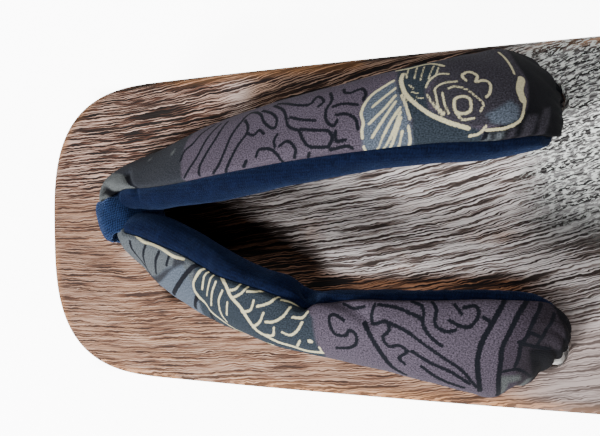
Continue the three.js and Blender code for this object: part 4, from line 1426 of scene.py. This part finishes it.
class Strap:
    """The padded strap: its printed cover above and its velvet lining below."""

    def __init__(self, form: StrapForm, print_cloth: bpy.types.Material, velvet: bpy.types.Material) -> None:
        """Keeps the form and the finishes.

        Args:
            form: the strap's form.
            print_cloth: the printed cloth.
            velvet: the velvet.
        """
        self.form = form
        self.print_cloth = print_cloth
        self.velvet = velvet

    def puckers(self, angles: np.ndarray) -> np.ndarray:
        """Works out the gathers where the strap is drawn into its heel holes.

        Args:
            angles: stations by points around, in degrees.

        Returns:
            How far each point moves out, in millimetres: never above 0, since it sinks.
        """
        form, sizes = self.form, self.form.sizes
        to_end = np.minimum(form.along - form.along[0], form.along[-1] - form.along)
        pull = np.clip(1 - to_end / sizes.pucker_reach, 0, 1)[:, None]
        turn = np.radians(angles)
        waver = 0.9 * np.sin(to_end * 0.35)[:, None] + 1.3 * np.sin(turn * 3)
        return -sizes.pucker_depth * pull**1.4 * (1 - np.abs(np.sin(turn * sizes.pucker_folds + waver)))

    def swells(self, surface: np.ndarray) -> np.ndarray:
        """Works out where the padding swells and where it is drawn in.

        Args:
            surface: the surface's points, in millimetres.

        Returns:
            How far each point moves out, in millimetres.
        """
        flat = surface.reshape(-1, 3)
        moved = np.zeros(len(flat))
        for height, radius, marks in SWELLS:
            route = self.form.route(marks)
            near = np.full(len(flat), 1e3)
            for start, end in zip(route, route[1:]):
                near = np.minimum(near, segment_distance(flat, start, end))
            moved += height * np.exp(-((near / radius) ** 2))
        return moved.reshape(surface.shape[:2])

    def lumps(self, angles: np.ndarray) -> np.ndarray:
        """Works out the slight unevenness of the filling.

        Args:
            angles: stations by points around, in degrees.

        Returns:
            How far each point moves out, in millimetres.
        """
        along = self.form.along[:, None]
        turn = np.radians(angles)
        slow = np.sin(along * 0.11 + 1.3 * np.sin(turn * 2)) * np.sin(turn * 3 + along * 0.05)
        quick = np.sin(along * 0.31 + turn * 2.1) * np.sin(turn * 5 - along * 0.17)
        return 0.28 * slow + 0.1 * quick

    def skin(self, name: str, first: float, sweep: float, outer: int, inner: int) -> bpy.types.Object:
        """Builds one half of the strap as a closed padded shell.

        Args:
            name: the piece's name.
            first: the angle from the seam where it starts.
            sweep: how far round the section it goes.
            outer: points on its outside.
            inner: points on its inside.

        Returns:
            The piece.
        """
        form, sizes = self.form, self.form.sizes
        turn = np.concatenate([np.linspace(0, 1, outer), np.linspace(1, 0, inner)])
        angles = form.seam[:, None] + first + sizes.seam_gap + turn[None] * (sweep - 2 * sizes.seam_gap)
        surface = form.points(angles, np.ones_like(angles))
        step = np.linalg.norm(np.diff(surface[:, :outer], axis=1), axis=2)
        walked = np.concatenate([np.zeros((form.count, 1)), np.cumsum(step, axis=1)], axis=1)
        to_edge = np.minimum(walked, walked[:, -1:] - walked)
        share = np.ones_like(angles)
        share[:, :outer] = 1 - sizes.seam_draw * np.exp(-((to_edge / sizes.seam_width) ** 2))
        share[:, outer:] = sizes.inner_share
        lift = np.zeros_like(angles)
        lift[:, :outer] = self.puckers(angles[:, :outer])
        lift[:, :outer] += self.swells(surface[:, :outer])
        lift[:, :outer] += self.lumps(angles[:, :outer])
        around = np.concatenate([walked, np.repeat(walked[:, -1:], inner, axis=1)], axis=1)
        rings = form.points(angles, share, lift)
        poles = [np.repeat(end.mean(1, keepdims=True), outer + inner, 1) for end in (rings[:1], rings[-1:])]
        rings = np.concatenate([poles[0], rings, poles[1]])
        layers = {
            "along_mm": with_ends(np.repeat(form.along[:, None], outer + inner, 1)),
            "around_mm": with_ends(around),
            "angle": with_ends(angles),
        }
        bare = with_ends(surface)
        layers.update({f"bare_{axis}": bare[..., index] for index, axis in enumerate("xyz")})
        return closed_skin(name, rings * MM, layers)

    def build_cover(self) -> bpy.types.Object:
        """Builds the printed cover.

        Returns:
            The cover.
        """
        arc = self.form.sizes.cover_arc
        piece = self.skin("strap_print_cover", -arc, arc, outer=98, inner=10)
        piece.data.materials.append(self.print_cloth)
        self.dye_and_shade(piece)
        self.tidy(piece)
        return piece

    @staticmethod
    def tidy(piece: bpy.types.Object) -> None:
        """Removes the attributes that only the making needed."""
        for label in ("angle", "bare_x", "bare_y", "bare_z"):
            piece.data.attributes.remove(piece.data.attributes[label])

    def dye_and_shade(self, piece: bpy.types.Object) -> None:
        """Gives the cover its ground colours, some of them painted shade, and its drawn lines as attributes.

        Args:
            piece: the cover.
        """
        mesh = piece.data
        count, far = len(mesh.vertices), 4.0
        spots = np.stack([self.numbers(mesh, f"bare_{axis}") for axis in "xyz"], 1)
        along, angle = (self.numbers(mesh, label) for label in ("along_mm", "angle"))
        for label, lines in (("ink", INK_LINES), ("cream", CREAM_LINES)):
            depth = np.full(count, far)
            for half_width, marks in lines:
                route = smooth_path(self.form.route(marks), 8 * len(marks))
                reach = [mark[0] for mark in marks]
                near = np.flatnonzero((along > min(reach) - far) & (along < max(reach) + far))
                for start, end in zip(route, route[1:]):
                    gap = segment_distance(spots[near], start, end) - half_width
                    depth[near] = np.minimum(depth[near], gap)
            mesh.attributes.new(label, "FLOAT", "POINT").data.foreach_set("value", depth.astype(np.float32))
        colours = np.tile(np.array([*Ground.PLUM.value, 1.0]), (count, 1))
        degree = self.form.sizes.degree_length
        for ground, outline in GROUNDS:
            share = inside_share(along, angle * degree, outline, degree)[:, None]
            colours[:, :3] += share * (np.array(ground.value) - colours[:, :3])
        mesh.attributes.new("ground", "FLOAT_COLOR", "POINT").data.foreach_set(
            "color", colours.astype(np.float32).ravel())

    @staticmethod
    def numbers(mesh: bpy.types.Mesh, label: str) -> np.ndarray:
        """Reads a number attribute.

        Args:
            mesh: the mesh.
            label: the attribute.

        Returns:
            Its number at every vertex.
        """
        values = np.empty(len(mesh.vertices), np.float32)
        mesh.attributes[label].data.foreach_get("value", values)
        return values.astype(float)

    def build_lining(self) -> bpy.types.Object:
        """Builds the velvet lining.

        Returns:
            The lining.
        """
        arc = 360.0 - self.form.sizes.cover_arc
        piece = self.skin("strap_velvet_lining", 0.0, arc, outer=56, inner=10)
        piece.data.materials.append(self.velvet)
        self.tidy(piece)
        return piece


# The toe loop


@dataclass
class LoopSizes:
    """The velvet band round the strap's turn, in millimetres and degrees."""

    width: float = 13.0
    thickness: float = 4.0
    yaw: float = 20.0
    depth: float = 10.5
    clearance: float = 0.3
    bore: float = TOE_BORE


class ToeLoop:
    """The velvet band that holds the strap's turn and goes down the toe hole."""

    def __init__(self, sizes: LoopSizes, strap: StrapSizes, velvet: bpy.types.Material) -> None:
        """Keeps the sizes and the finish.

        Args:
            sizes: the loop's sizes.
            strap: the strap's sizes.
            velvet: the velvet.
        """
        self.sizes = sizes
        self.strap = strap
        self.velvet = velvet

    def ahead(self) -> np.ndarray:
        """Returns the way ahead of the band, level and swung by its yaw."""
        yaw = math.radians(self.sizes.yaw)
        return np.array([math.cos(yaw), math.sin(yaw), 0])

    def route(self) -> tuple[np.ndarray, np.ndarray]:
        """Lays the band's route: up behind the turn, over it and down in front.

        Returns:
            The route's points and the band's width at each, as a share.
        """
        sizes, strap = self.sizes, self.strap
        row = STRAP_ROWS[TURN_ROW]
        turn = np.array(strap.spot(row))
        bends = 12
        deep = row[4] * strap.thickness / 2 + sizes.clearance + sizes.thickness / 2
        tall = row[3] * strap.width / 2 + sizes.clearance + sizes.thickness / 2
        stem = sizes.bore / 2 - sizes.thickness / 2 - 4 * sizes.clearance
        ahead = self.ahead()
        hole = np.array([strap.toe_hole, 0, 0])
        upright = np.array([0, 0, 1.0])

        def stem_points(way: int) -> list[tuple[np.ndarray, float]]:
            """Lays one stem in the toe hole.

            Args:
                way: 1 for the front stem, -1 for the back one.

            Returns:
                Its three points from the bottom up, each with the band's width there.
            """
            side = hole + ahead * way * stem
            lip = hole + ahead * way * stem * 1.15 + np.array([0, turn[1] * 0.35, 0])
            return [
                (side + upright * (strap.footbed - sizes.depth), 0.62),
                (side + upright * (strap.footbed - sizes.depth * 0.3), 0.66),
                (lip + upright * (strap.footbed + sizes.thickness * 0.7), 0.7),
            ]

        marks = stem_points(-1)
        for step in range(bends + 1):
            angle = math.radians(205 - 230 * step / bends)
            spot = turn + upright * math.sin(angle) * tall + ahead * math.cos(angle) * deep
            marks.append((spot, 0.72 + 0.28 * (1 + math.cos(angle)) / 2))
        marks += stem_points(1)[::-1]
        return np.array([mark[0] for mark in marks]), np.array([mark[1] for mark in marks])

    def build(self) -> bpy.types.Object:
        """Builds the band with soft edges and a few cross wrinkles.

        Returns:
            The loop.
        """
        sizes = self.sizes
        marks, widths = self.route()
        count, sides = 190, 44
        line = smooth_path(marks, count)
        walked = np.linspace(0, len(marks) - 1, count)
        near = np.linalg.norm(line[:, None] - marks[None], axis=2)
        order = np.maximum.accumulate(np.argmin(near, axis=1))
        widths = np.convolve(np.pad(widths[order], 8, mode="edge"), np.ones(17) / 17, mode="valid")
        ahead = self.ahead()
        across = np.array([-ahead[1], ahead[0], 0])
        way = unit(np.gradient(line, axis=0))
        sideways = unit(across - way * (way @ across)[:, None])
        outward = np.cross(sideways, way)
        angle = np.linspace(0, 2 * math.pi, sides, endpoint=False)
        wide, thick = signed_power(np.cos(angle), 0.8), signed_power(np.sin(angle), 0.9)
        wrinkle = 1 + 0.05 * np.sin(walked * 5.1)[:, None] * np.sin(angle * 2 + 0.7)[None]
        closing = np.ones(count)
        closing[[0, -1]], closing[[1, -2]] = 0.0, 0.75
        half_wide = wide[None] * wrinkle * (sizes.width / 2 * widths * closing)[:, None]
        half_thick = thick[None] * wrinkle * (sizes.thickness / 2 * closing)[:, None]
        section = half_wide[..., None] * sideways[:, None] + half_thick[..., None] * outward[:, None]
        rings = line[:, None] + section
        length = np.concatenate([[0.0], np.cumsum(np.linalg.norm(np.diff(line, axis=0), axis=1))])
        layers = {
            "along_mm": np.repeat(length[:, None], sides, 1),
            "around_mm": np.repeat((sizes.width / 2 * wide)[None], count, 0),
        }
        piece = closed_skin("toe_loop_band", rings * MM, layers)
        piece.data.materials.append(self.velvet)
        return piece


# The cords


@dataclass
class CordSizes:
    """The cords below, in millimetres."""

    diameter: float = 3.4
    wraps: int = 3
    toe_hole: float = TOE_HOLE
    heel_hole: float = HEEL_HOLE
    heel_side: float = HEEL_SIDE
    heel_bore: float = HEEL_BORE
    footbed: float = FOOTBED
    board: float = BOARD
    pocket_top: float = POCKET_TOP
    loop_foot: float = 39.5
    clearance: float = 0.3
    twist_pitch: float = 5.5
    strands: int = 3

    def knot_drop(self) -> float:
        """Returns how far the middle of a knot lies below what it is drawn against."""
        return self.diameter * 1.44 + self.clearance


class Cords:
    """The white twisted cords: the loop's two strands, the heel cord, and their knots."""

    def __init__(self, sizes: CordSizes, strap: StrapSizes, cotton: bpy.types.Material) -> None:
        """Keeps the sizes and the finish.

        Args:
            sizes: the cords' sizes.
            strap: the strap's sizes.
            cotton: the cord's finish.
        """
        self.sizes = sizes
        self.strap = strap
        self.cotton = cotton

    def twisted(
        self, name: str, marks: list[tuple[float, float, float]], per_mm: float = 3.0
    ) -> bpy.types.Object:
        """Lays one twisted cord of three strands along a route.

        Args:
            name: the piece's name.
            marks: the route's points.
            per_mm: rings for each millimetre.

        Returns:
            The cord.
        """
        points = np.array(marks, float)
        length = float(np.linalg.norm(np.diff(points, axis=0), axis=1).sum())
        count = max(12, int(length * per_mm))
        line = smooth_path(points, count)
        way = unit(np.gradient(line, axis=0))
        normal = unit(np.cross(way[0], (0.3, 0.5, 0.81)))
        normals = []
        for tangent in way:
            normal = unit(normal - tangent * (normal @ tangent))
            normals.append(normal)
        normals = np.array(normals)
        sideways = np.cross(way, normals)
        sides = 21
        angle = np.linspace(0, 2 * math.pi, sides, endpoint=False)
        strands = self.sizes.strands
        walked = np.linspace(0, length, count)[:, None]
        turn = angle[None] + walked * 2 * math.pi / (strands * self.sizes.twist_pitch)
        radius = self.sizes.diameter / 2 * (0.78 + 0.22 * np.abs(np.cos(strands / 2 * turn)) ** 0.7)
        closing = np.ones(count)
        closing[[0, -1]], closing[[1, -2]] = 0.0, 0.7
        radius = radius * closing[:, None]
        rings = (
            line[:, None]
            + (np.cos(angle) * radius)[..., None] * normals[:, None]
            + (np.sin(angle) * radius)[..., None] * sideways[:, None]
        )
        piece = closed_skin(name, rings * MM)
        piece.data.materials.append(self.cotton)
        return piece

    def knot(self, name: str, centre: tuple[float, float, float]) -> bpy.types.Object:
        """Winds a knot's turns round a cord that runs across the sole.

        Args:
            name: the piece's name.
            centre: the knot's centre.

        Returns:
            The turns.
        """
        sizes = self.sizes
        steps = 10
        reach, pitch = sizes.diameter * 0.94, sizes.diameter * 0.96
        marks = []
        for step in range(sizes.wraps * steps + 1):
            angle = 2 * math.pi * step / steps
            out, up = reach * math.cos(angle), reach * math.sin(angle)
            drift = (step / steps - sizes.wraps / 2) * pitch
            marks.append((centre[0] + out, centre[1] + drift, centre[2] + up))
        return self.twisted(name, marks, per_mm=2.6)

    def build_toe(self) -> list[bpy.types.Object]:
        """Builds the loop's two strands and their knot in the pocket.

        Returns:
            The pieces.
        """
        sizes = self.sizes
        hole, thick = sizes.toe_hole, sizes.diameter
        low = sizes.pocket_top - sizes.knot_drop()
        made = [self.knot("toe_knot", (hole, 0, low))]
        for label, way in (("front", 1), ("back", -1)):
            route = [
                (hole + way * thick * 0.92, way * thick * 0.33, sizes.loop_foot - sizes.clearance * 2),
                (hole + way * thick * 0.5, 0, low + thick * 0.8),
                (hole, way * thick * 0.6, low),
                (hole, way * thick * 2, low),
                (hole - way * thick * 0.44, way * thick * 2.7, low - thick * 0.24),
            ]
            made.append(self.twisted(f"toe_strand_{label}", route))
        return made

    def build_heel(self) -> list[bpy.types.Object]:
        """Builds the heel cord from the strap's left end, under the board and up to its right end.

        Returns:
            The pieces.
        """
        sizes = self.sizes
        hole, side, thick, footbed = sizes.heel_hole, sizes.heel_side, sizes.diameter, sizes.footbed
        underside = footbed - sizes.board
        under = underside - sizes.knot_drop()

        def leg(row: tuple[float, ...], way: int) -> list[tuple[float, float, float]]:
            """Lays the cord's route on one side of the sole.

            Args:
                row: the strap's row at its end on that side.
                way: 1 for the left side, -1 for the right one.

            Returns:
                The points from the strap's end to below the board.
            """
            end = self.strap.spot(row)
            low = way * (side - sizes.heel_bore / 2)
            return [
                (end[0] - thick * 0.18, end[1] + way * thick * 0.15, end[2] - sizes.clearance * 3),
                (hole, way * (side - thick * 0.18), footbed - sizes.board * 0.3),
                (hole, way * (side - thick * 0.3), underside + sizes.board * 0.15),
                (hole, low + way * thick * 0.9, underside - thick * 0.6),
                (hole, low - way * thick * 0.6, underside - thick * 1.24),
                (hole, low - way * thick * 4, under + thick * 0.12),
            ]

        route = leg(STRAP_ROWS[0], -1) + [(hole, 0, under)] + leg(STRAP_ROWS[-1], 1)[::-1]
        bight = [
            (hole - 0.5, side + 0.6, footbed - 5),
            (hole - 2.6, side + 1.0, footbed + 2.5),
            (hole - 2.4, side + 0.8, footbed + 7.5),
            (hole + 1.0, side - 0.2, footbed + 11),
            (hole + 5.0, side - 1.4, footbed + 12),
        ]
        return [
            self.twisted("heel_cord_run", route),
            self.knot("heel_knot", (hole, 0, under)),
            self.twisted("heel_cord_bight", bight),
        ]


# The studio


@dataclass
class Studio:
    """The floor, lights and camera, in metres and degrees, and how white the ground is."""

    lens: float = 42.42
    sensor: float = 36.0
    tilt: float = 22.0
    spin: float = 0.9
    eye: tuple[float, float, float] = (-0.0512, -0.0033, 0.2558)
    middle: tuple[float, float, float] = (0.0, 0.0, 0.05)
    floor_size: float = 3.0
    white: float = 9.0
    dim: float = 0.08
    dark_length: float = 0.135
    dark_width: float = 0.055
    dark_edge: tuple[float, float] = (0.9, 1.15)

    def place_camera(self) -> None:
        """Puts the camera above the heel end, tipped towards the toe."""
        tilt, spin = math.radians(self.tilt), math.radians(self.spin)
        ahead = Vector((math.sin(tilt), 0, -math.cos(tilt)))
        down = Vector((0, 1, 0))
        right = down.cross(ahead)
        turned = right * math.cos(spin) + down * math.sin(spin)
        lower = down * math.cos(spin) - right * math.sin(spin)
        data = bpy.data.cameras.new("camera")
        data.lens, data.sensor_width = self.lens, self.sensor
        data.clip_start, data.clip_end = 0.01, 20.0
        camera = bpy.data.objects.new("camera", data)
        axes = Matrix((turned, -lower, -ahead)).transposed().to_4x4()
        camera.matrix_world = Matrix.Translation(self.eye) @ axes
        bpy.context.scene.collection.objects.link(camera)
        bpy.context.scene.camera = camera

    def lay_floor(self) -> None:
        """Lays the pale floor, which the camera alone sees as white, but not beneath the sandal."""
        shape = bmesh.new()
        bmesh.ops.create_grid(shape, x_segments=1, y_segments=1, size=self.floor_size)
        floor = finished("floor", shape)
        material = bpy.data.materials.new("pale_floor")
        material.use_nodes = True
        shader = material.node_tree.nodes["Principled BSDF"]
        shader.inputs["Base Color"].default_value = (0.86, 0.86, 0.86, 1.0)
        shader.inputs["Roughness"].default_value = 0.8
        shader.inputs["Emission Color"].default_value = (1.0, 1.0, 1.0, 1.0)
        kit = Nodes(material.node_tree)
        place = kit.add("ShaderNodeTexCoord").outputs["Object"]
        x, y, _ = kit.add("ShaderNodeSeparateXYZ", {0: place}).outputs
        along = kit.math("DIVIDE", kit.math("ABSOLUTE", x), self.dark_length)
        across = kit.math("DIVIDE", kit.math("ABSOLUTE", y), self.dark_width)
        clear = kit.fit(kit.math("MAXIMUM", along, across), *self.dark_edge)
        seen = kit.add("ShaderNodeLightPath").outputs["Is Camera Ray"]
        kit.feed(shader.inputs["Emission Strength"], kit.product(seen, clear, self.white))
        floor.data.materials.append(material)

    def light(self, name: str, spot: tuple[float, float, float], size: float, power: float) -> None:
        """Hangs a soft light that faces the sandal.

        Args:
            name: the light's name.
            spot: where it hangs.
            size: its side.
            power: its power in watts.
        """
        data = bpy.data.lights.new(name, "AREA")
        data.size, data.energy = size, power
        lamp = bpy.data.objects.new(name, data)
        aim = Vector(self.middle) - Vector(spot)
        lamp.matrix_world = Matrix.Translation(spot) @ aim.to_track_quat("-Z", "Y").to_matrix().to_4x4()
        bpy.context.scene.collection.objects.link(lamp)

    def build(self) -> None:
        """Sets up the camera, floor and lights."""
        self.place_camera()
        self.lay_floor()
        self.light("key", (0.66, 0.74, 1.05), size=0.42, power=46.0)
        self.light("top", (-0.10, 0.10, 1.45), size=0.5, power=9.0)
        self.light("window", (-1.0, -0.55, 0.9), size=0.3, power=5.0)
        world = bpy.data.worlds.new("studio")
        world.use_nodes = True
        backdrop = world.node_tree.nodes["Background"]
        backdrop.inputs["Color"].default_value = (1.0, 1.0, 1.0, 1.0)
        kit = Nodes(world.node_tree)
        seen = kit.add("ShaderNodeLightPath").outputs["Is Camera Ray"]
        kit.feed(backdrop.inputs["Strength"], kit.fit(seen, 0.0, 1.0, self.dim, self.white))
        bpy.context.scene.world = world


def place(piece: bpy.types.Object, slot: Slot, *nodes: str, fill: float | None = None) -> None:
    """Hands a piece to the frame.

    Args:
        piece: the piece.
        slot: the slot its finish comes from; not used.
        nodes: the CAD nodes that it stands for.
        fill: how full a padded piece is; not used.
    """
    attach(piece, "root")
    if nodes:
        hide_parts(*nodes)
    LOG.info("%s: %d vertices", piece.name, len(piece.data.vertices))


def main() -> None:
    """Builds the studio and the sandal, in order."""
    logging.basicConfig(level=logging.INFO, format="%(message)s")
    Studio().build()
    weave, fibre = weave_group(), fibre_group()
    wood = WoodFinish().material()
    cloth = PrintFinish().material(weave)
    velvet = VelvetFinish().material(fibre)
    # The loop's velvet is the lining's navy painted lighter, as painted light on the lit loop.
    lit_velvet = VelvetFinish(
        name="loop_velvet", deep=(0.0012, 0.0030, 0.0130), nap=(0.0120, 0.0280, 0.0850),
        sheen=0.35, knit=0.22,
    )
    loop_velvet = lit_velvet.material(fibre)
    cotton = CordFinish().material(fibre)
    strap_sizes = StrapSizes()

    place(Sole(SoleSizes(), wood).build(), Slot.WOOD, "sole")
    strap = Strap(StrapForm(strap_sizes, count=700), cloth, velvet)
    place(strap.build_cover(), Slot.PRINT, "strap_cover", fill=0.9)
    place(strap.build_lining(), Slot.VELVET, "strap_lining", fill=0.9)
    place(ToeLoop(LoopSizes(), strap_sizes, loop_velvet).build(), Slot.VELVET, "toe_loop", fill=0.9)
    cords = Cords(CordSizes(), strap_sizes, cotton)
    for piece in cords.build_toe():
        place(piece, Slot.CORD, "toe_cord")
    for piece in cords.build_heel():
        place(piece, Slot.CORD, "heel_cord")


if __name__ == "__main__":
    main()
